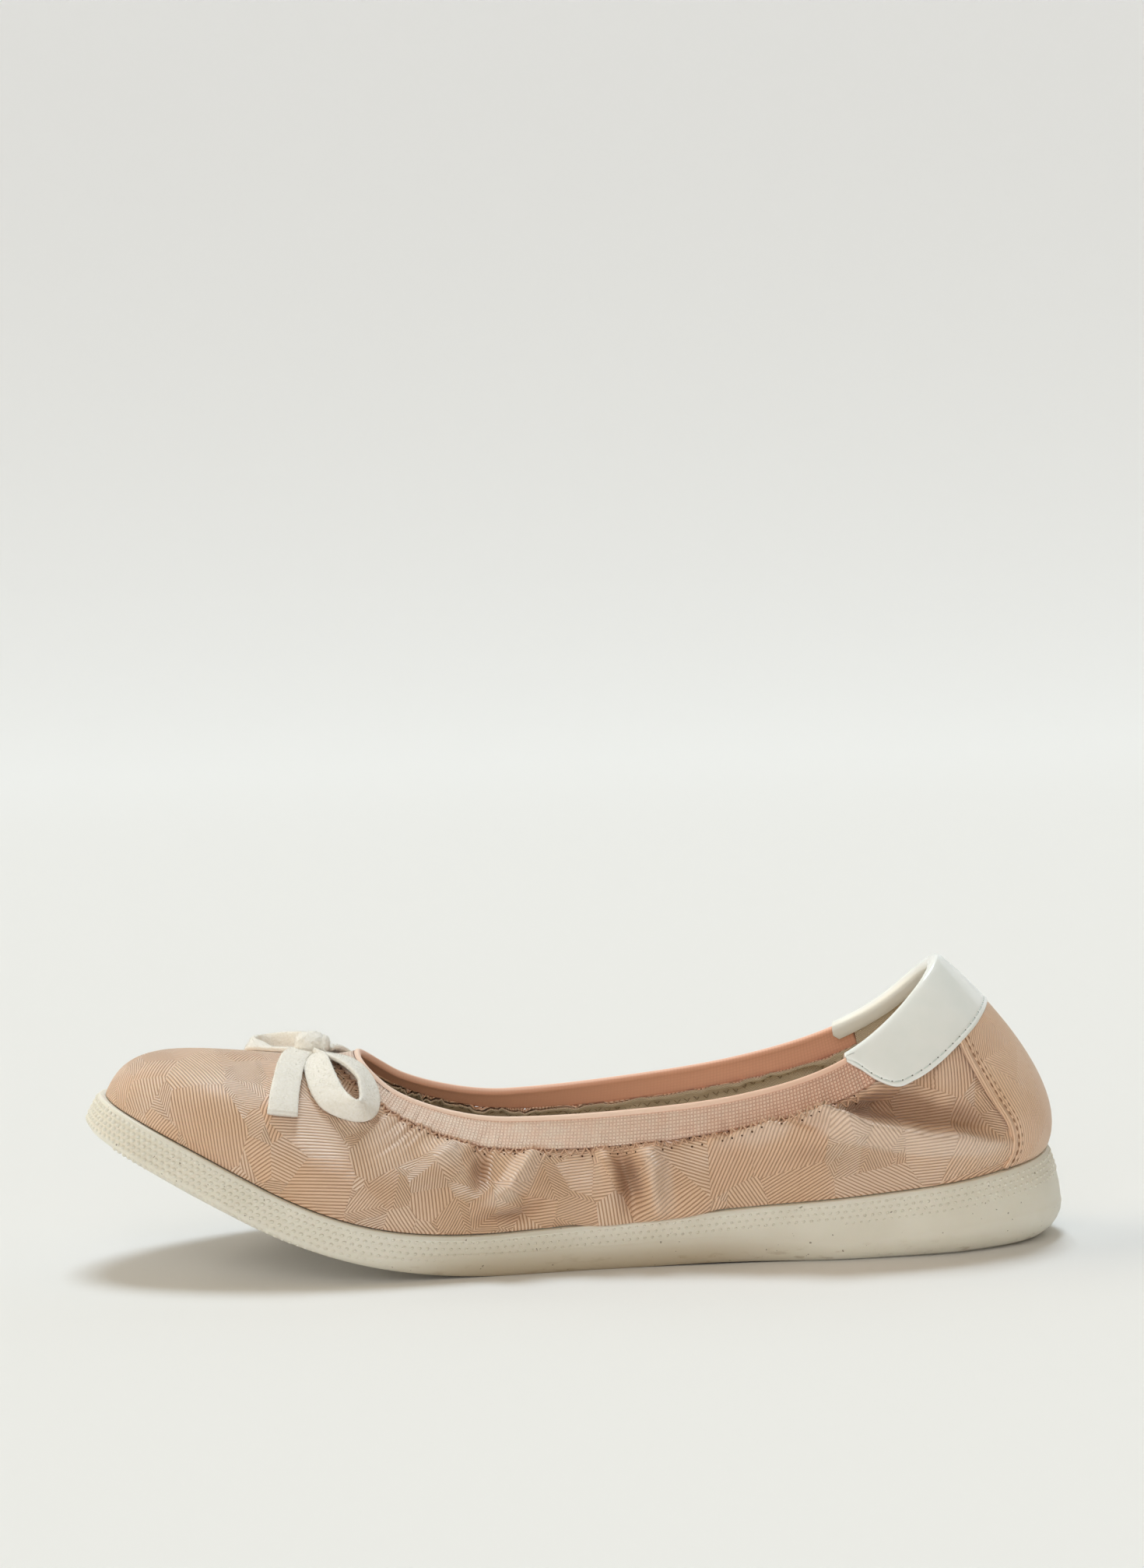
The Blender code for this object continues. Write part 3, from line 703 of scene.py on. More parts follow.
# Soft troughs (minus) and ridges (plus): each is a line of (place, down, height) and its half width. The
# heel fold has a fourth figure, the depth of the pit above it, and "crisp" is its half width on that side.
creases = [
    {"half": 1.5, "line": (
        (5.76, 9.0, 0.0), (5.78, 11.5, -1.6), (5.83, 16.0, -2.2), (5.89, 20.8, -1.5), (5.93, 24.0, 0.0))},
    {"half": 3.6, "line": ((5.44, 9.5, 0.5), (5.44, 11.6, 1.6), (5.36, 16.0, 1.9), (5.50, 20.5, 0.0))},
    {"half": 2.2, "line": (
        (6.36, 9.5, 0.7), (6.33, 11.1, 2.2), (6.27, 15.9, 2.8), (6.20, 20.8, 2.6), (6.0, 27.0, 0.4))},
    {"half": 2.2, "line": (
        (6.48, 21.0, 0.0), (6.40, 23.4, -1.6), (6.33, 26.7, -2.0), (6.0, 28.5, -1.4), (5.7, 30.0, 0.0))},
    {"half": 1.8, "line": (
        (7.04, 9.0, -1.4), (7.06, 11.5, -3.2), (7.11, 15.7, -4.2), (7.17, 21.0, -3.6), (7.18, 28.0, 0.0))},
    {"half": 2.4, "line": (
        (7.27, 9.5, 1.1), (7.28, 12.1, 2.6), (7.33, 15.2, 3.0), (7.33, 21.1, 2.6), (7.39, 28.0, 0.4))},
    {"half": 2.0, "line": ((6.93, 9.5, 0.8), (6.94, 12.7, 2.2), (7.0, 16.5, 2.0), (7.02, 21.0, 0.0))},
    {"half": 6.5, "crisp": 2.0, "peak": 3.4, "bold": 1.0, "line": (
        (7.6, 11.5, 0.6, 0.0), (7.9, 10.4, 2.2, 0.0), (8.33, 9.6, 3.9, 0.0), (8.58, 9.2, 4.8, 0.4),
        (8.70, 9.4, 5.3, 2.0), (8.78, 10.0, 5.5, 4.6),
        (8.89, 12.5, 5.6, 7.2), (9.11, 16.4, 5.6, 8.4), (9.28, 19.5, 5.4, 8.0), (9.50, 23.7, 5.0, 6.8),
        (9.67, 28.0, 4.5, 5.6), (9.89, 32.1, 3.9, 4.4), (10.11, 36.8, 3.1, 3.0), (10.5, 43.9, 1.2, 0.0))},
    {"half": 1.5, "line": ((8.37, 9.3, -0.9), (8.5, 10.4, -1.7), (8.67, 12.7, -1.8), (8.84, 15.5, 0.0))},
]
crossing = {"share": 0.55, "shift": -0.12}


def creaseLift(cloth):
    # cloth is where the points lie on the flat sheet. The outer side has its own gentler set.
    lift = np.zeros(cloth.shape[:2])
    for crease in creases:
        rows = np.array(crease["line"])
        for side, share, shift in ((1, 1.0, 0.0), (-1, crossing["share"], crossing["shift"])):
            places = rows[:, 0] * side + shift
            line = clothAt(places, rows[:, 1:2])[:, 0]
            up = unit(clothAt(places, rows[:, 1:2] - 1.0)[:, 0] - line)
            nearest = np.full(lift.shape, 1e9)
            rise = np.zeros(lift.shape)
            values = np.zeros((*lift.shape, rows.shape[1] - 2))
            for k in range(len(line) - 1):
                run = line[k + 1] - line[k]
                along = np.clip(((cloth - line[k]) @ run) / (run @ run), 0.0, 1.0)[..., None]
                away = cloth - line[k] - along * run
                gap = np.linalg.norm(away, axis=-1)
                closer = gap < nearest
                upHere = up[k] * (1 - along) + up[k + 1] * along
                here = rows[k, 2:] + (rows[k + 1, 2:] - rows[k, 2:]) * along
                values = np.where(closer[..., None], here, values)
                rise = np.where(closer, (away * upHere).sum(-1), rise)
                nearest = np.minimum(gap, nearest)
            half = np.where(rise > 0, crease.get("crisp", crease["half"]), crease["half"])
            lift += values[..., 0] * share * crease.get("bold", 1.35) * np.exp(-((nearest / half) ** 2))
            if "peak" in crease:
                climb = np.maximum(rise, 0.0) / crease["peak"]
                lift -= values[..., 1] * share * climb * np.exp(1.0 - climb)
    return lift


gathers = {
    "from": 3.2, "full": 4.8, "to": 9.35, "pitch": 0.105, "height": 1.3, "reach": 6.5, "seed": 7,
    # The shares between which each gather's own measures are drawn.
    "pitches": (0.6, 1.5), "halves": (0.25, 0.5), "heights": (-1.0, 0.8), "reaches": (0.5, 1.5),
    "lean": 0.012,
}
bandEdge = (
    (0.0, 6.2), (3.0, 6.4), (4.0, 6.7), (5.0, 7.8), (5.9, 8.9),
    (6.8, 9.1), (7.4, 8.7), (8.2, 8.5), (8.8, 9.1), (9.45, 9.4),
)
bandOuter = {"narrower": 0.14, "places": (3.0, 6.0)}


def bandLow(places):
    # The band is narrower on the outer side.
    less = bandOuter["narrower"] * smooth(-signed(places), *bandOuter["places"])
    return tableAt(bandEdge, mirrored(places)) * (1.0 - less)


def puckers(places, downs):
    # Small upright gathers that hang from the band and die away below it.
    rng = np.random.default_rng(gathers["seed"])
    lift = np.zeros(downs.shape)
    below = downs - bandLow(places)[:, None]
    for side in (1, -1):
        spot = gathers["from"]
        while spot < gathers["to"]:
            spot += gathers["pitch"] * rng.uniform(*gathers["pitches"])
            half = gathers["pitch"] * rng.uniform(*gathers["halves"])
            grown = smooth(spot, gathers["from"], gathers["full"])
            height = gathers["height"] * rng.uniform(*gathers["heights"]) * grown
            reach = gathers["reach"] * rng.uniform(*gathers["reaches"])
            lean = rng.uniform(-gathers["lean"], gathers["lean"])
            gap = signed(places)[:, None] * side - spot - lean * below
            lift += height * np.exp(-((gap / half) ** 2)) * np.exp(-np.maximum(below, 0.0) / reach)
    return lift


# The cloth's top edge is tucked under the band, up to where the heel cuff takes over.
upperGrid = {
    "columns": 720, "rows": 80, "skin": 0.7, "tucked": 0.6, "stepAt": 9.46, "stepOver": 0.05,
    "around": ((14, 9), (4, 3)),
}
liningGrid = {"columns": 480, "rows": 48, "skin": 0.5, "depth": 1.3, "tucked": 0.8, "heelTop": 0.4}
rowSpread = {"crowd": 0.1, "huddle": 0.04}
# Where the cloth is free to lift: by millimetres below the band, and by place round the heel.
free = {
    "heel": (9.3, 9.6), "ridges": (-0.3, 1.6), "least": 0.1, "troughs": (0.2, 5.0),
    "heelTroughs": (9.35, 9.9), "nearSole": 3.0, "held": 0.8,
}
# The cloth tucks in under the band, and at the waist it bulges out and down over the sole's rim.
tuck = {"depth": 0.9, "ends": (-0.1, 1.6)}
rimRoll = {
    "places": (6.5, 7.0, 7.55, 8.05), "out": 2.5, "outShares": (0.45, 0.93, 0.955, 1.0),
    "drop": 1.3, "dropShares": (0.75, 0.96, 0.975, 1.0),
}
# The big fold by the heel laps up over the band's lower edge.
lapUp = {"rise": 0.42, "places": (7.7, 8.3, 9.0, 9.3), "below": (-0.2, 1.2, 3.0, 9.0)}


def upperTop(places):
    side = mirrored(places)
    start = upperGrid["stepAt"]
    under = 1 - smooth(side, start, start + upperGrid["stepOver"])
    return (bandLow(places) - upperGrid["tucked"]) * np.where(side < start, 1.0, under)


def rowShares(rows):
    # Rows crowd towards both ends, where the edges turn.
    t = np.linspace(0, 1, rows)
    return t - rowSpread["crowd"] * np.sin(2 * math.pi * t)


def evenRows(top, full, rows):
    # Rows at one depth all round the shoe; where the top lies lower, the first ones huddle under it.
    even = full[:, None] * rowShares(rows)[None]
    return np.maximum(even, top[:, None] + rowSpread["huddle"] * np.arange(rows)[None])


def clothLift(places, downs, cloth):
    # Creases and gathers together. The band and the sole hold the cloth, so it lifts less beside them.
    lengths = wallLength(places)[:, None]
    side, below = mirrored(places)[:, None], downs - bandLow(places)[:, None]
    heel = smooth(side, *free["heel"])
    lift = creaseLift(cloth)
    ridges = np.maximum(free["least"] + (1 - free["least"]) * smooth(below, *free["ridges"]), heel)
    troughs = np.maximum(smooth(below, *free["troughs"]), smooth(side, *free["heelTroughs"]))
    lift = np.maximum(lift, 0.0) * ridges + np.minimum(lift, 0.0) * troughs
    nearSole = smooth(downs, lengths - free["nearSole"], lengths)
    return (lift + puckers(places, downs) * (1 - heel)) * (1 - free["held"] * nearSole)


def drapedWall(places, downs, extra=0.0):
    # The cloth's outside with its folds, its tuck under the band and its roll over the sole's rim.
    cloth = clothAt(places, downs)
    side, below = mirrored(places)[:, None], downs - bandLow(places)[:, None]
    share = downs / wallLength(places)[:, None]
    lift = clothLift(places, downs, cloth)
    roll = hump(side, *rimRoll["places"])
    out = roll * rimRoll["out"] * hump(share, *rimRoll["outShares"])
    under = (1 - smooth(below, *tuck["ends"])) * (1 - smooth(side, *free["heel"]))
    points = offWall(places, downs, lift + out - tuck["depth"] * under + extra)
    lap = np.maximum(lift, 0.0) * lapUp["rise"]
    lap = lap * hump(side, *lapUp["places"]) * hump(below, *lapUp["below"])
    points[..., 2] += lap - roll * rimRoll["drop"] * hump(share, *rimRoll["dropShares"])
    return points, cloth


def hollows(lift, columns, rows):
    # How far each point lies behind the cloth round it: more than nothing in a trough, less on a ridge.
    soft = sum(np.roll(lift, step, 0) for step in range(-columns, columns + 1)) / (2 * columns + 1)
    padded = np.pad(soft, ((0, 0), (rows, rows)), "edge")
    soft = sum(padded[:, k:k + lift.shape[1]] for k in range(2 * rows + 1)) / (2 * rows + 1)
    return soft - lift


def makeUpper():
    places = ringPlaces(upperGrid["columns"])
    downs = evenRows(upperTop(places), wallLength(places), upperGrid["rows"])
    outer, cloth = drapedWall(places, downs)
    # Half as many rows do for the inside.
    inner = drapedWall(places, downs[:, ::2], -upperGrid["skin"])[0]
    thing = closedShell("upper_cloth", outer, inner, cloth, cloth[:, ::2])
    # How far each point lies in a hollow is kept on the cloth, and the satin paints shade in the troughs
    # and a highlight along the ridges from it.
    wide, small = upperGrid["around"]
    dent = hollows(clothLift(places, downs, cloth), *wide)
    dent = dent + hollows(dent, *small)
    whole = np.concatenate([dent, np.zeros(inner.shape[:2])], 1).astype(np.float32)
    thing.data.attributes.new("hollow", "FLOAT", "POINT").data.foreach_set("value", whole.ravel())
    return thing


def makeLining():
    places = ringPlaces(liningGrid["columns"])
    tucked, heelTop = bandLow(places) - liningGrid["tucked"], liningGrid["heelTop"]
    top = np.where(mirrored(places) < upperGrid["stepAt"], tucked, heelTop)
    downs = evenRows(top, wallLength(places), liningGrid["rows"])
    outer, cloth = drapedWall(places, downs, -liningGrid["depth"])
    inner = drapedWall(places, downs, -liningGrid["depth"] - liningGrid["skin"])[0]
    return closedShell("upper_lining", outer, inner, cloth, cloth)


def onCloth(places, downs, extra):
    # A line on the draped cloth and the way its surface faces.
    points = drapedWall(places, downs[:, None], extra)[0][:, 0]
    return points, wallNormals(places, downs[:, None])[:, 0]


# The groove colour is painted shade between the threads, the gleam colour a painted highlight, and the
# darkest colour painted shade in the folds' troughs.
satin = {
    "pitch": 0.84, "patch": 15.0, "fine": 0.52, "split": 0.5, "turns": 6.0, "stray": 0.35, "fold": 13.0,
    "stretch": 0.8, "relief": 0.36, "grooveShade": 0.66, "contrast": 1.0,
    "tan": linear(245, 204, 168), "rose": linear(250, 215, 188), "shade": linear(235, 190, 154),
    "gleam": linear(252, 230, 214), "groove": linear(168, 120, 86), "foldShade": linear(146, 96, 60),
}
tanSatin = satinFinish("tan_satin", satin)
wear(makeUpper(), tanSatin, "tan_satin", "upper")

weave = {"pitch": 0.7, "relief": 0.06, "light": linear(216, 203, 182), "dark": linear(198, 183, 160)}


def liningFinish():
    finish = Finish("beige_lining", Roughness=0.9, Sheen_Weight=0.2)
    spot, turns = finish.cloth(), 2 * math.pi / weave["pitch"]
    knit = (finish.part(spot, "X") * turns).sine() * (finish.part(spot, "Y") * turns).sine()
    finish.feed("Base Color", finish.mix(knit.between(-1.0, 1.0), weave["dark"], weave["light"]))
    finish.feed("Normal", finish.bump(knit, weave["relief"] * mm))
    return finish


wear(makeLining(), liningFinish(), "insole_lining")


band = {
    "end": 9.45, "columns": 620, "proud": 0.1, "roll": 0.32, "cell": 0.88, "follow": 0.4, "relief": 0.24,
    "pink": linear(255, 234, 218), "rose": linear(255, 226, 208), "hole": linear(214, 150, 122),
    "heel": linear(232, 172, 140), "edge": linear(252, 224, 206), "clay": linear(243, 186, 160),
    "heelFrom": (60.0, 165.0), "ribsFrom": (1.5, 1.8), "insideFrom": (0.3, -0.1), "foldAt": 1.62,
}


def alongTop(places, down):
    return lengthAlong(onWall(places, np.full((len(places), 1), down))[:, 0])


def tapeAt(along, downs):
    # A strip's own flat sheet: the length along its top, and the millimetres down.
    return np.stack(np.broadcast_arrays(along[:, None], downs), -1)


def bandSections():
    places = np.linspace(-band["end"], band["end"], band["columns"])
    low = bandLow(places)[:, None]
    proud, roll = band["proud"], band["roll"]
    # Round the section: share of the band's height, further down, out from the wall.
    face = [(1.0, 0.0, -0.55), (1.0, 0.02, proud - 0.15)]
    face += [(share, 0.0, proud) for share in (0.97, 0.85, 0.7, 0.55, 0.4, 0.25)]
    crown = [
        (0.0, 1.65, proud), (0.0, 1.45, proud - 0.08), (0.0, 1.2, proud + roll * 0.8),
        (0.0, 0.7, proud + roll), (0.0, 0.2, proud + 0.15), (0.0, 0.0, -0.25), (0.0, -0.05, -0.7),
        (0.0, 0.0, -1.15), (0.0, 0.2, -1.5), (0.0, 0.7, -1.65), (0.0, 1.3, -1.45),
    ]
    back = [(share, 0.0, -1.3) for share in (0.25, 0.45, 0.65, 0.85, 0.97)] + [(1.0, 0.0, -1.1)]
    share, add, out = np.array(face + crown + back).T
    downs = low * share + add
    ripple = puckers(places, downs) * band["follow"] * smooth(share, 0.2, 1.0)
    isFront = out > -0.6
    # On the inside the tape's second figure runs below nought.
    tape = tapeAt(alongTop(places, 4.0), np.where(isFront, downs, -downs))
    return offWall(places, downs, out + np.where(isFront, ripple, 0.0)), tape


def elasticFinish(middle):
    # Rows of small square knots with gaps between them, which open wider and deepen towards the heel.
    finish = Finish("pink_elastic", Roughness=0.75, Sheen_Weight=0.15, Sheen_Roughness=0.5)
    spot = finish.cloth()
    u, v = finish.part(spot, "X"), finish.part(spot, "Y")
    heel = (u - middle).size().between(*band["heelFrom"])
    knot = (u / band["cell"]).tent().between(0.05, 0.5) * (v / band["cell"]).tent().between(0.02, 0.42)
    gap = (1.0 - knot) * (0.2 + 0.55 * heel)
    ribs, inside = v.between(*band["ribsFrom"]), v.between(*band["insideFrom"])
    cloudy = finish.noise(finish.place(), 260.0)
    hue = finish.mix(cloudy.between(0.3, 0.7), band["rose"], band["pink"])
    hue = finish.mix(inside, finish.mix(1.0 - ribs, hue, band["edge"]), band["clay"])
    # A thin darker line along the fold just under the rolled top edge: painted shade, in the gaps' colour.
    hue = finish.mix((v - band["foldAt"]).size().between(0.3, 0.0) * 0.5, hue, band["hole"])
    hue = finish.mix(heel * 0.5 * (1.0 - inside), hue, band["heel"])
    finish.feed("Base Color", finish.mix(gap * (ribs + inside * 0.45), hue, band["hole"]))
    grain = finish.mapped(spot, (0.0, 0.0, 0.0), (0.6, 5.0, 1.0))
    fibres = finish.bump(finish.noise(grain, 1.0), 0.05 * mm)
    finish.feed("Normal", finish.bump(1.0 - (1.0 - knot) * ribs, band["relief"] * mm, fibres))
    return finish


sections, tape = bandSections()
pinkElastic = elasticFinish(float(tape[..., 0].max() / 2))
wear(openLoft("elastic_band", sections, tape), pinkElastic, "pink_elastic", "collar_elastic")

# The zigzag that holds the band to the cloth, and its needle holes. The inner row shows on the lining.
zigzag = {
    "below": 1.15, "end": 9.2, "inside": 1.6, "holeRows": (1.1, -0.95), "points": 900,
    "outer": {"Spacing": 1.35, "Zigzag": 2.2, "Wander": 0.25, "Fill": 1.1, "Width": 0.5, "Height": 0.3},
    "inner": {"Spacing": 1.35, "Zigzag": 1.8, "Wander": 0.15, "Fill": 1.1, "Width": 0.32, "Height": 0.14},
    "holes": {"Spacing": 2.7, "Zigzag": 0.0, "Wander": 0.35, "Fill": 0.2, "Width": 0.55, "Height": 0.16},
    "tan": (linear(196, 156, 128), linear(226, 192, 166)),
    "brown": (linear(62, 40, 26), linear(104, 72, 50)),
    "grey": (linear(128, 112, 90), linear(176, 160, 136)),
}
tanThread = mottled("tan_thread", 900.0, zigzag["tan"], Roughness=0.8)
needleHole = mottled("needle_hole", 700.0, zigzag["brown"], Roughness=0.95)
greyThread = mottled("grey_thread", 900.0, zigzag["grey"], Roughness=0.85)
places = np.linspace(-zigzag["end"], zigzag["end"], zigzag["points"])
edgeDowns = bandLow(places)
row = onCloth(places, edgeDowns + zigzag["below"], 0.1)
sew("zigzag_outer", [row], tanThread, "tan_satin", zigzag["outer"])
rows = [onCloth(places, edgeDowns + zigzag["below"] + shift, 0.02) for shift in zigzag["holeRows"]]
sew("zigzag_holes", rows, needleHole, "tan_satin", zigzag["holes"])
liningFace = -liningGrid["depth"] - liningGrid["skin"] - 0.05
inner, facing = onCloth(places, edgeDowns + zigzag["inside"], liningFace)
sew("zigzag_inner", [(inner, -facing)], greyThread, "insole_lining", zigzag["inner"])


cuff = {
    "low": (
        (9.16, 1.4), (9.22, 2.8), (9.32, 5.2), (9.45, 9.4), (9.62, 13.6), (9.85, 15.4), (10.2, 16.6),
        (10.7, 17.2), (11.3, 16.9), (12.0, 16.6),
    ),
    "columns": 260, "lap": 0.45, "skin": 1.0, "inside": 3.2, "rim": 1.3,
    "cool": linear(247, 252, 251), "white": linear(252, 255, 254),
}


def cuffLow(places):
    return tableAt(cuff["low"], mirrored(places))


def cuffSections():
    front = cuff["low"][0][0]
    turn = np.linspace(0, 1, cuff["columns"])
    places = front + (spokes - 2 * front) * (1 - np.cos(math.pi * turn)) / 2
    low = cuffLow(places)[:, None]
    lap, rim, inside = cuff["lap"], cuff["rim"], cuff["inside"]
    face = lap + cuff["skin"]
    # Round the section: share of the flap's height, further down, out from the wall.
    edgeRows = [
        (1.0, -0.2, lap + 0.05), (1.0, 0.0, lap + 0.35), (1.0, -0.02, face - 0.2),
        (1.0, -0.2, face + 0.02), (1.0, -0.6, face + 0.12), (1.0, -rim + 0.25, face + 0.02),
        (1.0, -rim, face - 0.22), (1.0, -rim - 0.3, face - 0.04), (1.0, -rim - 0.8, face),
    ]
    flap = [(share, -(rim + 0.9) * share, face) for share in (0.95, 0.85, 0.7, 0.55, 0.4, 0.2)]
    crown = [
        (0.1, 0.0, face), (0.04, 0.0, face), (0.0, -0.35, face - 0.15), (0.0, -0.8, 0.95),
        (0.0, -1.1, 0.45), (0.0, -1.25, -0.15), (0.0, -1.3, -0.8), (0.0, -1.25, -1.45),
        (0.0, -1.1, -2.05), (0.0, -0.8, -2.55), (0.0, -0.35, -2.9), (0.0, 0.3, -3.0),
    ]
    inner = [
        (0.0, inside * 0.5, -3.0), (0.0, inside - 0.3, -2.98), (0.0, inside, -2.8),
        (0.0, inside, -2.2), (0.0, inside - 0.2, -2.0),
    ]
    back = [
        (0.0, inside * 0.5, -2.0), (0.0, 0.3, -2.0), (0.0, -0.2, -1.85), (0.0, -0.3, -1.2),
        (0.0, -0.3, -0.1), (0.0, 0.3, lap),
    ]
    back += [(share, -0.8 * share, lap) for share in (0.3, 0.6, 0.85, 1.0)]
    share, add, out = np.array(edgeRows + flap + crown + inner + back).T
    # Near the cuff's two ends the flap is short, and the rows draw together.
    small = np.minimum(1.0, low / inside)
    downs = low * share + add * np.where((add > 0) | (share > 0), small, 1.0)
    return offWall(places, downs, np.broadcast_to(out, downs.shape)), tapeAt(alongTop(places, 1.0), downs)


def patentFinish():
    finish = Finish("white_patent", Roughness=0.3, Coat_Weight=1.0, Coat_Roughness=0.06, IOR=1.5)
    spot = finish.place()
    ripple = finish.noise(spot, 110.0)
    finish.feed("Base Color", finish.mix(ripple.between(0.3, 0.7), cuff["cool"], cuff["white"]))
    grain = finish.noise(spot, 3200.0)
    finish.feed("Normal", finish.bump(grain, 0.02 * mm, finish.bump(ripple, 0.3 * mm)))
    return finish


sections, tape = cuffSections()
wear(openLoft("heel_cuff_patent", sections, tape), patentFinish(), "white_patent", "heel_cuff")

cuffSeam = {
    "from": 9.24, "points": 400, "sunk": (0.16, 0.14),
    "thread": {"Spacing": 2.8, "Zigzag": 0.0, "Wander": 0.03, "Fill": 0.72, "Width": 0.4, "Height": 0.2},
    "holes": {"Spacing": 2.8, "Zigzag": 0.0, "Wander": 0.05, "Fill": 0.18, "Width": 0.42, "Height": 0.14},
    "white": (linear(196, 208, 206), linear(228, 234, 232)),
    "grey": (linear(92, 96, 92), linear(132, 136, 130)),
}


def cuffLine(sunk):
    places = np.linspace(cuffSeam["from"], spokes - cuffSeam["from"], cuffSeam["points"])
    low = cuffLow(places)
    downs = (low - cuff["rim"] * np.minimum(1.0, low / cuff["inside"]))[:, None]
    line = offWall(places, downs, np.full(downs.shape, cuff["lap"] + cuff["skin"] - sunk))
    return line[:, 0], wallNormals(places, downs)[:, 0]


whiteThread = mottled("white_thread", 900.0, cuffSeam["white"], Roughness=0.6)
greyHole = mottled("grey_hole", 700.0, cuffSeam["grey"], Roughness=0.9)
threadLine, (line, facing) = (cuffLine(sunk) for sunk in cuffSeam["sunk"])
sew("cuff_stitches", [threadLine], whiteThread, "white_patent", cuffSeam["thread"])
# The holes lie between the stitches, so their line starts half a stitch later.
start = int(np.searchsorted(lengthAlong(line)[1:], cuffSeam["thread"]["Spacing"] / 2))
sew("cuff_needle_holes", [(line[start:], facing[start:])], greyHole, "white_patent", cuffSeam["holes"])


panel = {
    "front": ((0.0, 10.66), (0.2, 10.59), (0.5, 10.55), (0.75, 10.58), (0.9, 10.52), (1.0, 10.4)),
    "rows": 48, "skin": 0.95, "gap": 0.25, "under": 1.2, "foot": 0.7, "middle": 90,
    # From the folded front edge back: how far, and how far out of the full height.
    "fold": (
        (0.0, 0.1), (0.06, 0.45), (0.2, 0.8), (0.45, 1.08), (0.8, 1.22), (1.15, 1.12), (1.45, 0.8),
        (1.7, 0.72), (2.0, 0.86), (2.5, 1.0), (3.2, 1.0),
    ),
    "seams": (2.0, 3.1), "seamEnds": (0.02, 0.985), "seamPoints": 120, "seamHeight": 0.93,
    "thread": {"Spacing": 2.1, "Zigzag": 0.0, "Wander": 0.05, "Fill": 0.7, "Width": 0.42, "Height": 0.15},
    "brown": (linear(132, 94, 68), linear(176, 136, 106)),
    "satin": {"patch": 30.0, "fold": 60.0, "grooveShade": 0.45, "relief": 0.2, "contrast": 0.85, "turns": 1.0},
}


def panelFront(share):
    # The panel's front edge: its place, the millimetres to a place there, and how far down others lie.
    place = tableAt(panel["front"], share)

    def down(places):
        top = cuffLow(places) - panel["under"]
        return top + (wallLength(places) - panel["foot"] - top) * share

    ends = [onWall(place + shift, down(place + shift)[:, None])[:, 0] for shift in (0.0, 0.1)]
    return place, np.linalg.norm(ends[1] - ends[0], axis=1) / 0.1, down


def panelSections():
    # Columns run from one folded edge round the heel to the other.
    share = np.linspace(0, 1, panel["rows"])
    front, size, down = panelFront(share)
    away, height = np.array(panel["fold"]).T
    first = front + away[-1] / size
    middle = np.linspace(0, 1, panel["middle"] + 2)[1:-1]
    places = np.concatenate([
        front + away[:, None] / size,
        first + (spokes - 2 * first) * middle[:, None],
        spokes - front - away[::-1, None] / size,
    ])
    height = np.concatenate([height, np.ones(panel["middle"]), height[::-1]])
    downs = np.stack([down(column) for column in places])
    flat = places.reshape(-1), downs.reshape(-1, 1)
    outs = (panel["gap"] + panel["skin"] * np.repeat(height, len(share)))[:, None]
    outer = offWall(*flat, outs).reshape(*places.shape, 3)
    inner = offWall(*flat, np.full(flat[1].shape, panel["gap"])).reshape(*places.shape, 3)
    cloth = tapeAt(lengthAlong(outer[:, len(share) // 2]), downs)
    return np.concatenate([outer, inner[:, ::-1]], 1), np.concatenate([cloth, cloth[:, ::-1]], 1)


panelSatin = satinFinish("panel_satin", {**satin, **panel["satin"]})
sections, cloth = panelSections()
wear(openLoft("heel_panel_cloth", sections, cloth), panelSatin, "panel_satin", "heel_panel")


def panelSeam(away, side):
    share = np.linspace(*panel["seamEnds"], panel["seamPoints"])
    front, size, down = panelFront(share)
    place = front + away / size
    downs = down(place)[:, None]
    place = place if side > 0 else spokes - place
    out = panel["gap"] + panel["skin"] * panel["seamHeight"]
    return offWall(place, downs, np.full(downs.shape, out))[:, 0], wallNormals(place, downs)[:, 0]


brownThread = mottled("brown_thread", 900.0, panel["brown"], Roughness=0.8)
rows = [panelSeam(away, side) for away in panel["seams"] for side in (1, -1)]
sew("panel_stitches", rows, brownThread, "panel_satin", panel["thread"])


sole = {
    "columns": 720, "rimRound": 0.5, "bedEdge": 4.2, "bedDepth": 2.2, "wallRows": 22, "cornerRows": 6,
    "sink": 0.2, "lip": 1.1, "inner": 2.2, "waist": (20.0, 60.0, 112.0, 150.0), "belly": 1.9,
    "cream": linear(239, 235, 224), "ivory": linear(232, 227, 214), "scuff": linear(176, 162, 140),
    "waistShade": linear(178, 158, 128), "speck": linear(112, 96, 78),
    # The rubber's marks and the painted shade low on the waist, in metres.
    "scuffLow": (0.006, 0.0005), "waistShadeLow": (0.012, 0.0), "waistShadeRise": (0.02, 0.06),
    "waistShadeFall": (0.15, 0.11), "treadPerMetre": 400.0, "wavesPerMetre": 520.0, "waveShare": 0.4,
    "treadDepth": 0.6 * mm,
}
# Slanted oval dashes in rows down the sole's side. By place from the toe: how many rows, and how bold.
dashes = {
    "pitch": 1.9, "rowPitch": 1.42, "first": 1.5, "rows": 6, "slant": math.radians(24), "sunk": 0.1,
    "faintest": 0.15, "smallest": 0.4, "above": 0.5,
    "extent": (
        (0.0, 6.0, 1.0), (3.0, 6.0, 1.0), (4.2, 6.0, 0.8), (5.2, 4.5, 0.5), (6.2, 3.0, 0.3),
        (7.5, 3.0, 0.35), (9.0, 3.4, 0.45), (12.0, 4.0, 0.5),
    ),
    "sizes": {"Fill": 0.84, "Width": 1.15, "Height": 0.66},
}


def cornerRise(table):
    # The sole's side turns under over this height. At the waist it starts to turn sooner.
    return table[..., 4] * (1 + sole["belly"] * hump(table[..., 0], *sole["waist"]))


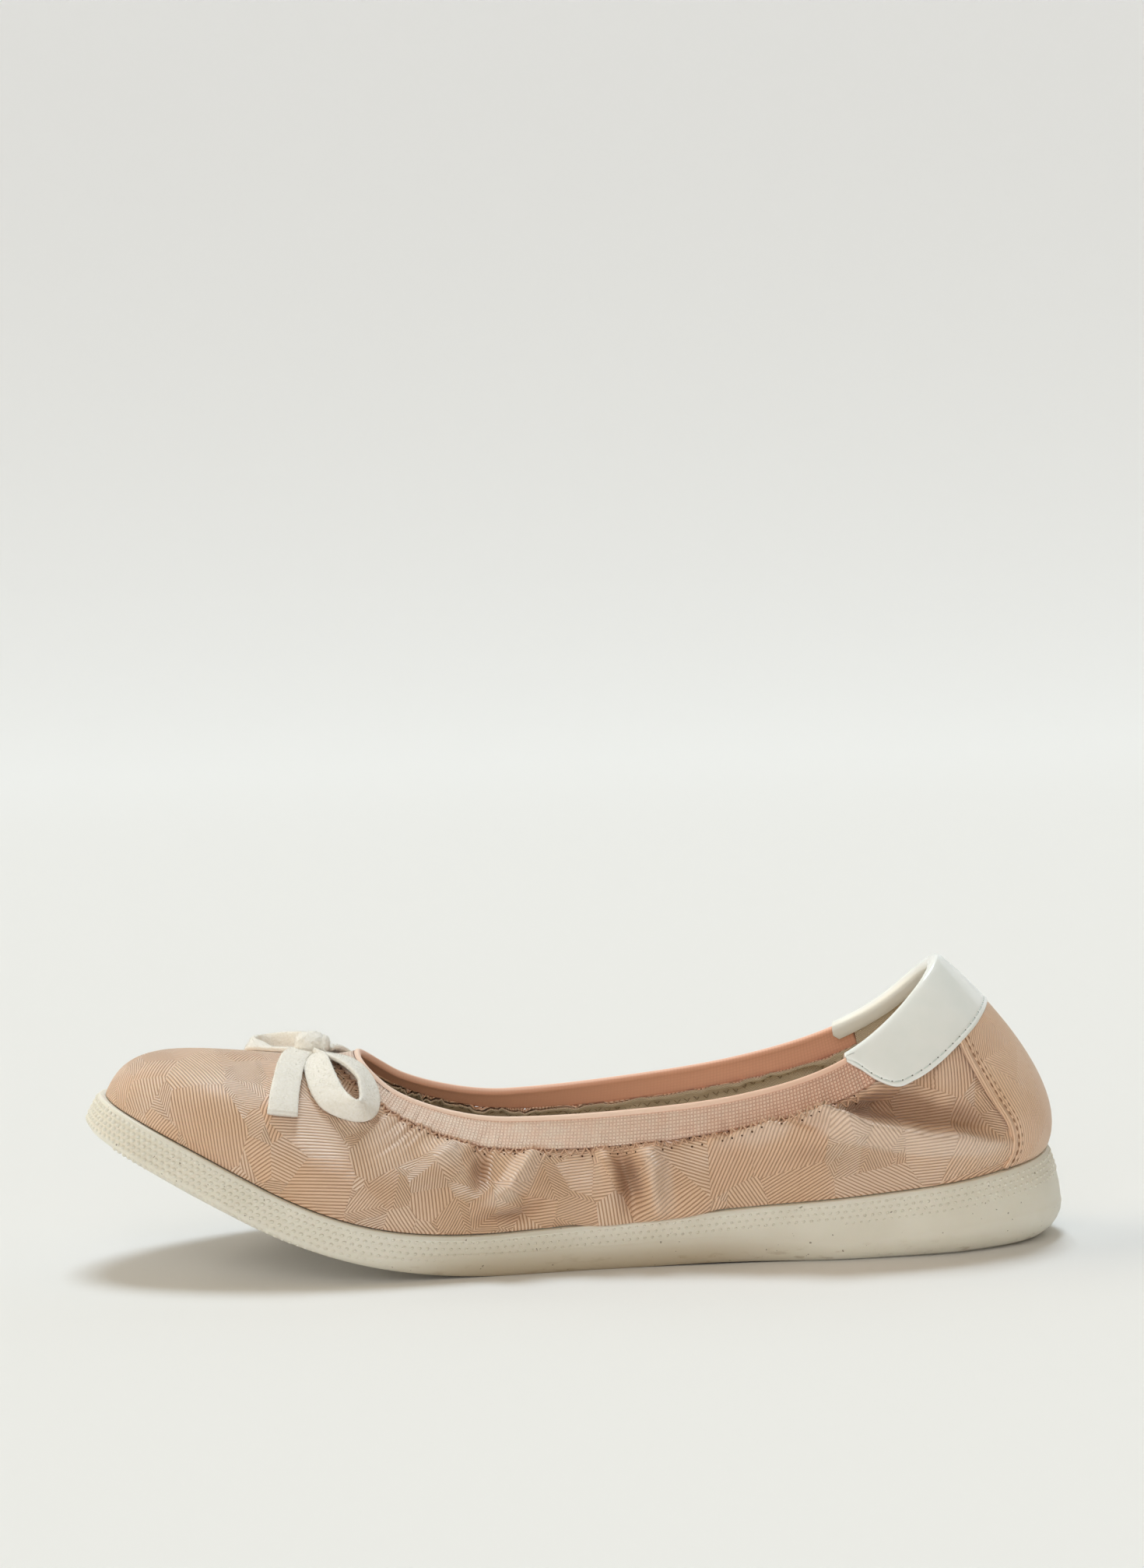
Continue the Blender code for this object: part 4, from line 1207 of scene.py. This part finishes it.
def sideInset(table, h):
    # How far the sole's side lies inside its plan edge at this height, minus where it swells out.
    s, rim, flare, corner = table[..., 0], table[..., 2], table[..., 3], table[..., 4]
    rise = cornerRise(table)
    wallLow = rise + archLift(s)
    swell = flare * np.sin(math.pi / 2 * np.clip((rim - h) / (rim - wallLow), 0.0, 1.0))
    low = np.clip((wallLow - h) / rise, 0.0, 1.0)
    return corner * (1 - np.sqrt(1 - low**2)) - swell


def soleSections():
    table = ringAt(soleTable, ringPlaces(sole["columns"]))
    rim, flare, corner = table[:, 2], table[:, 3], table[:, 4]
    floor = archLift(table[:, 0])
    rise = cornerRise(table)
    wallLow = rise + floor
    whole = np.ones_like(rim)
    soft = sole["rimRound"]
    rows = [(whole * sole["bedEdge"], rim - sole["bedDepth"])]
    rows += [(whole * inset, rim) for inset in (sole["bedEdge"], sole["inner"], soft)]
    rows += [(whole * soft * (1 - sine), rim - soft * (1 - cosine)) for sine, cosine in quarterTurn(3)]
    top = rim - soft - 0.3
    for k in range(sole["wallRows"]):
        t = k / (sole["wallRows"] - 1)
        h = top + (wallLow - top) * t
        sunk = smooth(rim - h, sole["lip"] - 0.2, sole["lip"] + 0.2) * (1 - smooth(t, 0.9, 1.0))
        rows.append((sideInset(table, h) + sole["sink"] * sunk, h))
    for sine, cosine in quarterTurn(sole["cornerRows"]):
        rows.append((-flare + corner * (1 - cosine), floor + rise * (1 - sine)))
    return np.stack([solePoint(ringPlaces(sole["columns"]), inset, h) for inset, h in rows], 1)


def plateFaces(columns, rows):
    # A closed ring of rows, with its first and last row filled straight across.
    faces = gridFaces(columns, rows, True, False)
    for end in (0, rows - 1):
        for i in range(columns // 2):
            this = (i * rows + end, (i + 1) * rows + end)
            other = ((columns - i - 1) * rows + end, (columns - i) % columns * rows + end)
            corners = this + other
            if i == 0:
                corners = (*this, other[0])
            if i == columns // 2 - 1:
                corners = (*this, other[1])
            faces.append(corners)
    return faces


def sideSkin(places, drop):
    # The sole's side this far below its rim, where the dashes lie.
    table = ringAt(soleTable, places)
    h = table[:, 2] - drop
    return solePoint(places, sideInset(table, h) + sole["sink"] + dashes["sunk"], h)


def dashGuide():
    fine = np.linspace(0, spokes, 2000)
    length = lengthAlong(solePoint(fine, np.zeros(len(fine)), ringAt(soleTable, fine)[:, 2]))
    count = int(round(length[-1] / dashes["pitch"]))
    smallest, rings = dashes["smallest"], []
    for row in range(dashes["rows"]):
        places = np.interp((np.arange(count) + 0.5 * (row % 2)) * length[-1] / count, length, fine)
        rowsHere, bold = tableAt(dashes["extent"], mirrored(places)).T
        depth = dashes["first"] + dashes["rowPitch"] * row
        along = unit(sideSkin(places + 0.02, depth) - sideSkin(places - 0.02, depth))
        up = unit(sideSkin(places, depth - 0.1) - sideSkin(places, depth + 0.1))
        isOnSide = ringAt(soleTable, places)[:, 2] - depth > dashes["above"]
        size = bold * np.clip(rowsHere - row, 0.0, 1.0) * isOnSide
        run = (along * math.cos(dashes["slant"]) + up * math.sin(dashes["slant"])) * dashes["pitch"] * mm
        sizes = smallest + (1 - smallest) * size
        found = (sideSkin(places, depth), run, unit(np.cross(along, up)), sizes)
        rings.append([values[size > dashes["faintest"]] for values in found])
    points, runs, facings, sizes = (np.concatenate(values) for values in zip(*rings))
    return guideObject("dash_guide", points, [], run=runs, facing=facings, size=sizes)


def rubberFinish():
    finish = Finish("sole_rubber", Roughness=0.5, IOR=1.5, Subsurface_Weight=0.05)
    spot = finish.place()
    x, y, z = (finish.part(spot, axis) for axis in "XYZ")
    cloudy, speck = finish.noise(spot, 60.0, 4.0), finish.noise(spot, 850.0, 1.0)
    hue = finish.mix(cloudy.between(0.3, 0.75), sole["cream"], sole["ivory"])
    # Scuffs low on the side and under the toe.
    stretched = finish.mapped(spot, (0.0, 0.0, 0.0), (1.0, 1.0, 3.0))
    scuff = finish.noise(stretched, 210.0, 5.0).between(0.56, 0.7) * z.between(*sole["scuffLow"])
    hue = finish.mix(scuff * 0.55, hue, sole["scuff"])
    finish.feed("Roughness", 0.42 + cloudy * 0.2)
    # The side turns in at the waist, and its shade there is painted in, darker towards the bottom.
    waist = x.between(*sole["waistShadeRise"]) * x.between(*sole["waistShadeFall"]) * z.between(*sole["waistShadeLow"])
    hue = finish.mix(waist * 0.75, hue, sole["waistShade"])
    finish.feed("Base Color", finish.mix(speck.between(0.745, 0.775) * 0.7, hue, sole["speck"]))
    # Wavy tread under the sole, where it faces down.
    facing = finish.add("ShaderNodeNewGeometry", {}, {}, "Normal")
    under = (-finish.part(facing, "Z")).between(0.9, 0.98)
    waves = (y * sole["wavesPerMetre"]).sine() * sole["waveShare"]
    tread = (x * sole["treadPerMetre"] + waves).tent().between(0.3, 0.6) * under
    grain = finish.bump(finish.noise(spot, 500.0, 3.0), 0.06 * mm)
    finish.feed("Normal", finish.bump(tread, sole["treadDepth"], grain))
    return finish


rubber = rubberFinish()
sections = soleSections()
tread = newMesh("outsole_rubber", sections, plateFaces(*sections.shape[:2]))
wear(tread, rubber, "sole_rubber", "outsole")
guide = dashGuide()
dashRows = studs.grow("sole_dashes", guide, rubber, inMetres(dashes["sizes"]))
bpy.data.objects.remove(guide)
wear(dashRows, rubber, "sole_rubber")


insole = {
    "thick": 3.0, "edge": 4.7, "round": 0.8, "roundRows": 4, "columns": 240,
    # A shallow channel runs round the pad: how far in, and how deep.
    "channel": ((9.0, 0.0), (8.2, 0.0), (7.9, -0.12), (7.5, -0.3), (7.1, -0.12), (6.8, 0.0)),
    "beige": linear(204, 188, 162), "sand": linear(214, 200, 176),
}


def insoleSections():
    places = ringPlaces(insole["columns"])
    bed = ringAt(soleTable, places)[:, 2] - sole["bedDepth"] + edge["gap"]
    top = bed + insole["thick"]
    rows = [(inset, top + sink) for inset, sink in insole["channel"]]
    for sine, cosine in [(0.0, 1.0), *quarterTurn(insole["roundRows"])]:
        rows.append((insole["edge"] + insole["round"] * (1 - sine), top - insole["round"] * (1 - cosine)))
    rows.append((insole["edge"], bed))
    return np.stack([solePoint(places, np.full(len(places), inset), h) for inset, h in rows], 1)


def padFinish():
    finish = Finish("insole_lining", Roughness=0.85, Sheen_Weight=0.15)
    spot = finish.place()
    finish.feed("Base Color", finish.mix(finish.noise(spot, 90.0, 3.0), insole["beige"], insole["sand"]))
    finish.feed("Normal", finish.bump(finish.noise(spot, 1500.0), 0.06 * mm))
    return finish


sections = insoleSections()
pad = newMesh("insole_pad", sections, plateFaces(*sections.shape[:2]))
wear(pad, padFinish(), "insole_lining", "insole")


bow = {
    "x": 155.0, "y": 0.0, "thick": 1.4, "lift": 0.2, "steps": 96, "sides": 28, "flat": 0.35, "round": 0.62,
    "knotColumns": 54, "knotSides": 56, "cream": linear(248, 245, 237), "white": linear(254, 252, 247),
    "hair": {"Density": 3.4e6, "Length": 0.5 * mm, "Width": 0.09 * mm, "Lean": 0.7},
}
# A ribbon by its two edges, knot to knot: x, y and height over the cloth of the lower, then of the upper.
loops = {
    "near": (
        (154.9, 3.6, 0.8, 151.6, 5.6, 2.6),
        (156.2, 8.4, 0.8, 150.4, 9.6, 3.6),
        (156.0, 14.5, 0.8, 149.2, 14.6, 3.8),
        (155.0, 20.0, 0.8, 148.0, 19.0, 3.8),
        (153.4, 24.8, 0.8, 146.8, 22.8, 4.2),
        (151.2, 27.8, 0.8, 145.6, 25.2, 5.0),
        (148.6, 28.9, 0.8, 144.6, 26.6, 5.8),
        (145.4, 29.1, 0.8, 143.9, 27.2, 6.2),
        (142.2, 28.6, 0.8, 143.3, 27.0, 6.2),
        (139.6, 27.2, 0.8, 142.9, 26.0, 5.6),
        (137.8, 24.6, 0.8, 142.7, 24.2, 4.9),
        (137.2, 20.8, 0.8, 142.8, 21.6, 4.4),
        (138.1, 16.2, 0.8, 143.3, 18.8, 4.2),
        (140.8, 11.4, 0.8, 144.8, 16.0, 3.8),
        (144.4, 7.4, 0.8, 147.0, 13.2, 3.6),
        (148.4, 4.6, 0.9, 149.8, 10.4, 3.4),
        (152.0, 2.6, 1.1, 152.4, 7.6, 3.2),
        (154.0, 1.6, 1.4, 154.4, 5.0, 3.0),
    ),
    "far": (
        (155.6, -2.0, 1.0, 157.0, -4.6, 1.4),
        (158.6, -5.4, 0.8, 159.6, -9.6, 1.4),
        (162.4, -8.6, 0.8, 162.8, -13.6, 1.4),
        (166.6, -11.0, 0.8, 166.2, -16.4, 1.6),
        (170.6, -13.6, 0.8, 169.0, -18.6, 3.2),
        (173.2, -17.6, 0.8, 171.2, -21.0, 4.8),
        (173.4, -21.8, 0.8, 171.8, -23.6, 6.6),
        (171.0, -24.8, 0.8, 169.8, -25.2, 7.8),
        (167.0, -24.8, 0.8, 166.4, -24.4, 8.1),
        (162.6, -21.4, 0.8, 162.6, -21.0, 7.7),
        (158.8, -16.0, 0.8, 159.2, -15.8, 6.8),
        (156.6, -10.4, 0.8, 156.8, -10.4, 5.6),
        (155.4, -5.0, 0.8, 155.6, -5.0, 4.0),
    ),
}
# A tail by its middle line: x, y and height over the cloth, then its width.
tails = {
    "near": (
        (156.8, 2.0, 1.6, 6.6), (158.5, 6.0, 1.9, 6.8), (159.6, 12.0, 1.4, 6.9), (160.1, 19.0, 1.3, 7.0),
        (160.5, 26.0, 1.3, 7.3), (160.7, 32.0, 1.5, 7.6),
    ),
    "far": (
        (153.0, -2.0, 1.6, 6.6), (151.2, -6.0, 1.8, 6.8), (149.6, -11.0, 1.4, 7.0),
        (148.6, -18.0, 1.3, 7.2), (148.6, -25.0, 1.3, 7.4), (149.4, -32.0, 1.5, 7.6),
    ),
}
# The knot from the throat side to the toe side: along x, half depth, half height.
knotRows = (
    (-4.5, 0.5, 0.4), (-4.3, 2.0, 1.3), (-3.7, 3.2, 2.1), (-3.1, 3.5, 2.35), (-2.6, 3.3, 2.15),
    (-2.2, 3.7, 2.5), (-1.4, 4.3, 2.85), (0.0, 4.6, 3.0), (1.4, 4.5, 2.95), (2.6, 4.0, 2.7),
    (3.6, 3.2, 2.1), (4.2, 2.0, 1.3), (4.4, 0.5, 0.4),
)


def vampTree():
    # The smooth wall of the toe and vamp, to lay the ribbon on.
    places = np.linspace(-6.4, 6.4, 200)
    downs = wallLength(places)[:, None] * np.linspace(0, 1, 90)[None]
    points = offWall(places, downs, np.zeros(downs.shape))
    corners = [Vector(point) for point in points.reshape(-1, 3)]
    return BVHTree.FromPolygons(corners, gridFaces(*points.shape[:2], False, False))


vamp = vampTree()


def above(x, y, lift):
    # The point this far off the cloth, over x and y, and the way the cloth faces there.
    found, normal, _, _ = vamp.ray_cast(Vector((x, y, 200.0)), Vector((0, 0, -1)))
    normal = np.array(normal if normal.z > 0 else -normal)
    return np.array(found) + normal * lift, normal


def ribbonRings(centres, acrosses, wides):
    # A flat band with rounded edges along its middle line.
    tangents = unit(np.gradient(centres, axis=0))
    depths = unit(np.cross(tangents, acrosses))
    angles = np.linspace(0, 2 * math.pi, bow["sides"], endpoint=False)
    a = np.sign(np.cos(angles)) * np.abs(np.cos(angles)) ** bow["flat"]
    b = np.sign(np.sin(angles)) * np.abs(np.sin(angles)) ** bow["round"]
    across = acrosses[:, None] * (a[None] * wides[:, None] / 2)[..., None]
    return centres[:, None] + across + depths[:, None] * (b * bow["thick"] / 2)[None, :, None]


def loopSections(rows):
    edges = [[above(*row[:3])[0], above(*row[3:])[0]] for row in throughRows(rows, bow["steps"])]
    low, top = np.array(edges).transpose(1, 0, 2)
    return ribbonRings((low + top) / 2, unit(top - low), np.linalg.norm(top - low, axis=1))


def tailSections(rows):
    rows = throughRows(rows, bow["steps"] // 2)
    points, normals = (np.array(found) for found in zip(*(above(*row[:3]) for row in rows)))
    return ribbonRings(points, unit(np.cross(normals, np.gradient(points, axis=0))), rows[:, 3])


def knotSections():
    # Two sets of small waves round the knot stand for the folds of the pulled ribbon.
    tallest = max(row[2] for row in knotRows)
    centre, normal = above(bow["x"], bow["y"], bow["lift"] + tallest)
    aside = np.array([0.0, 1.0, 0.0])
    ahead = unit(np.cross(aside, normal))
    table = [(k / (len(knotRows) - 1), *row) for k, row in enumerate(knotRows)]
    angles = np.linspace(0, 2 * math.pi, bow["knotSides"], endpoint=False)
    rings = []
    for x, wide, tall in tableAt(table, np.linspace(0, 1, bow["knotColumns"])):
        folds = 1 + 0.035 * np.sin(5 * angles + x * 1.3) + 0.022 * np.sin(9 * angles - x * 2.1)
        a, b = np.cos(angles) * folds, np.sin(angles) * folds
        rings.append(centre + ahead * x + np.outer(a * wide, aside) + np.outer(b * tall, normal))
    return np.array(rings)


def ribbonFinish():
    finish = Finish("cream_ribbon", Roughness=0.9, Sheen_Weight=0.5, Sheen_Roughness=0.5)
    fuzz = finish.noise(finish.place(), 1500.0, 3.0)
    finish.feed("Base Color", finish.mix(fuzz.between(0.3, 0.7), bow["cream"], bow["white"]))
    finish.feed("Normal", finish.bump(fuzz, 0.3 * mm))
    return finish


creamRibbon = ribbonFinish()
bowPieces = {"bow_knot": knotSections()}
bowPieces.update({"bow_loop_" + side: loopSections(rows) for side, rows in loops.items()})
bowPieces.update({"bow_tail_" + side: tailSections(rows) for side, rows in tails.items()})
for node, sections in bowPieces.items():
    thing = openLoft(node + "_ribbon", sections)
    hair = nap.grow(node + "_nap", thing, creamRibbon, bow["hair"])
    wear(thing, creamRibbon, "cream_ribbon", node)
    wear(hair, creamRibbon, "cream_ribbon")


stage = {
    "near": 5.0, "turnsUp": -1.5, "radius": 2.6, "steps": 24, "top": 4.0, "half": 6.0,
    "white": (0.84, 0.84, 0.84, 1.0), "glow": (0.20, 0.235, 0.27), "glowFrom": (0.9, 3.6),
}
# Each sun by the way to it, its strength, its spread in degrees and its colour.
lights = {
    "key": ((0.0, -0.45, 1.0), 1.7, 20, (0.80, 0.92, 1.0)),
    "side": ((1.0, -0.4, 0.45), 1.6, 60, (1.0, 0.89, 0.70)),
    "front": ((0.2, 1.0, 0.42), 0.9, 60, (1.0, 0.97, 0.93)),
}
surround = {"colour": (1.0, 0.85, 0.60), "strength": 0.26}


def setStage():
    # A pale floor that curves up behind the shoe. Its far part glows a little, to keep the floor's tone.
    back, radius = stage["turnsUp"], stage["radius"]
    rows = [(stage["near"], 0.0), (1.0, 0.0), (back, 0.0)]
    for sine, cosine in quarterTurn(stage["steps"]):
        rows.append((back - radius * sine, radius - radius * cosine))
    rows.append((back - radius, stage["top"]))
    points = [(x, y, z) for y, z in rows for x in (-stage["half"], stage["half"])]
    mesh = bpy.data.meshes.new("floor")
    mesh.from_pydata(points, [], gridFaces(len(rows), 2, False, False))
    mesh.polygons.foreach_set("use_smooth", np.ones(len(mesh.polygons), bool))
    paper = Finish("paper", Roughness=0.95, Specular_IOR_Level=0.1, Emission_Strength=1.0)
    paper.feed("Base Color", stage["white"])
    far = (-paper.part(paper.place(), "Y")).between(*stage["glowFrom"])
    paper.feed("Emission Color", paper.mix(far, (0.0, 0.0, 0.0), stage["glow"]))
    mesh.materials.append(paper.material)
    newObject("floor", mesh)


def addSun(name, towards, strength, spread, colour):
    lamp = bpy.data.lights.new(name, "SUN")
    lamp.energy, lamp.angle, lamp.color = strength, math.radians(spread), colour
    thing = newObject(name, lamp)
    thing.rotation_euler = (-Vector(towards)).to_track_quat("-Z", "Y").to_euler()


view = {
    "place": (0.0837, 1.0400, 0.2109), "pitch": math.radians(5.09), "roll": math.radians(1.7),
    "lens": 94.43, "sensor": 36.0, "reach": 50.0,
}


def setCamera():
    pitch, roll = view["pitch"], view["roll"]
    lean = Vector((-math.sin(roll), 0, math.cos(roll)))
    right = Vector((-math.cos(roll), 0, -math.sin(roll)))
    level = Vector((0, -1, 0))
    ahead = level * math.cos(pitch) - lean * math.sin(pitch)
    up = lean * math.cos(pitch) + level * math.sin(pitch)
    lens = bpy.data.cameras.new("camera")
    lens.sensor_width, lens.lens, lens.clip_end = view["sensor"], view["lens"], view["reach"]
    camera = newObject("camera", lens)
    turned = Matrix((right, up, -ahead)).transposed().to_4x4()
    camera.matrix_world = Matrix.Translation(view["place"]) @ turned
    bpy.context.scene.camera = camera


def setLight():
    for name, light in lights.items():
        addSun(name, *light)
    world = bpy.data.worlds.new("studio")
    world.use_nodes = True
    background = world.node_tree.nodes["Background"]
    background.inputs["Color"].default_value = (*surround["colour"], 1.0)
    background.inputs["Strength"].default_value = surround["strength"]
    bpy.context.scene.world = world
    bpy.context.scene.view_settings.view_transform = "Standard"


setStage()
setCamera()
setLight()
print("stage ready")
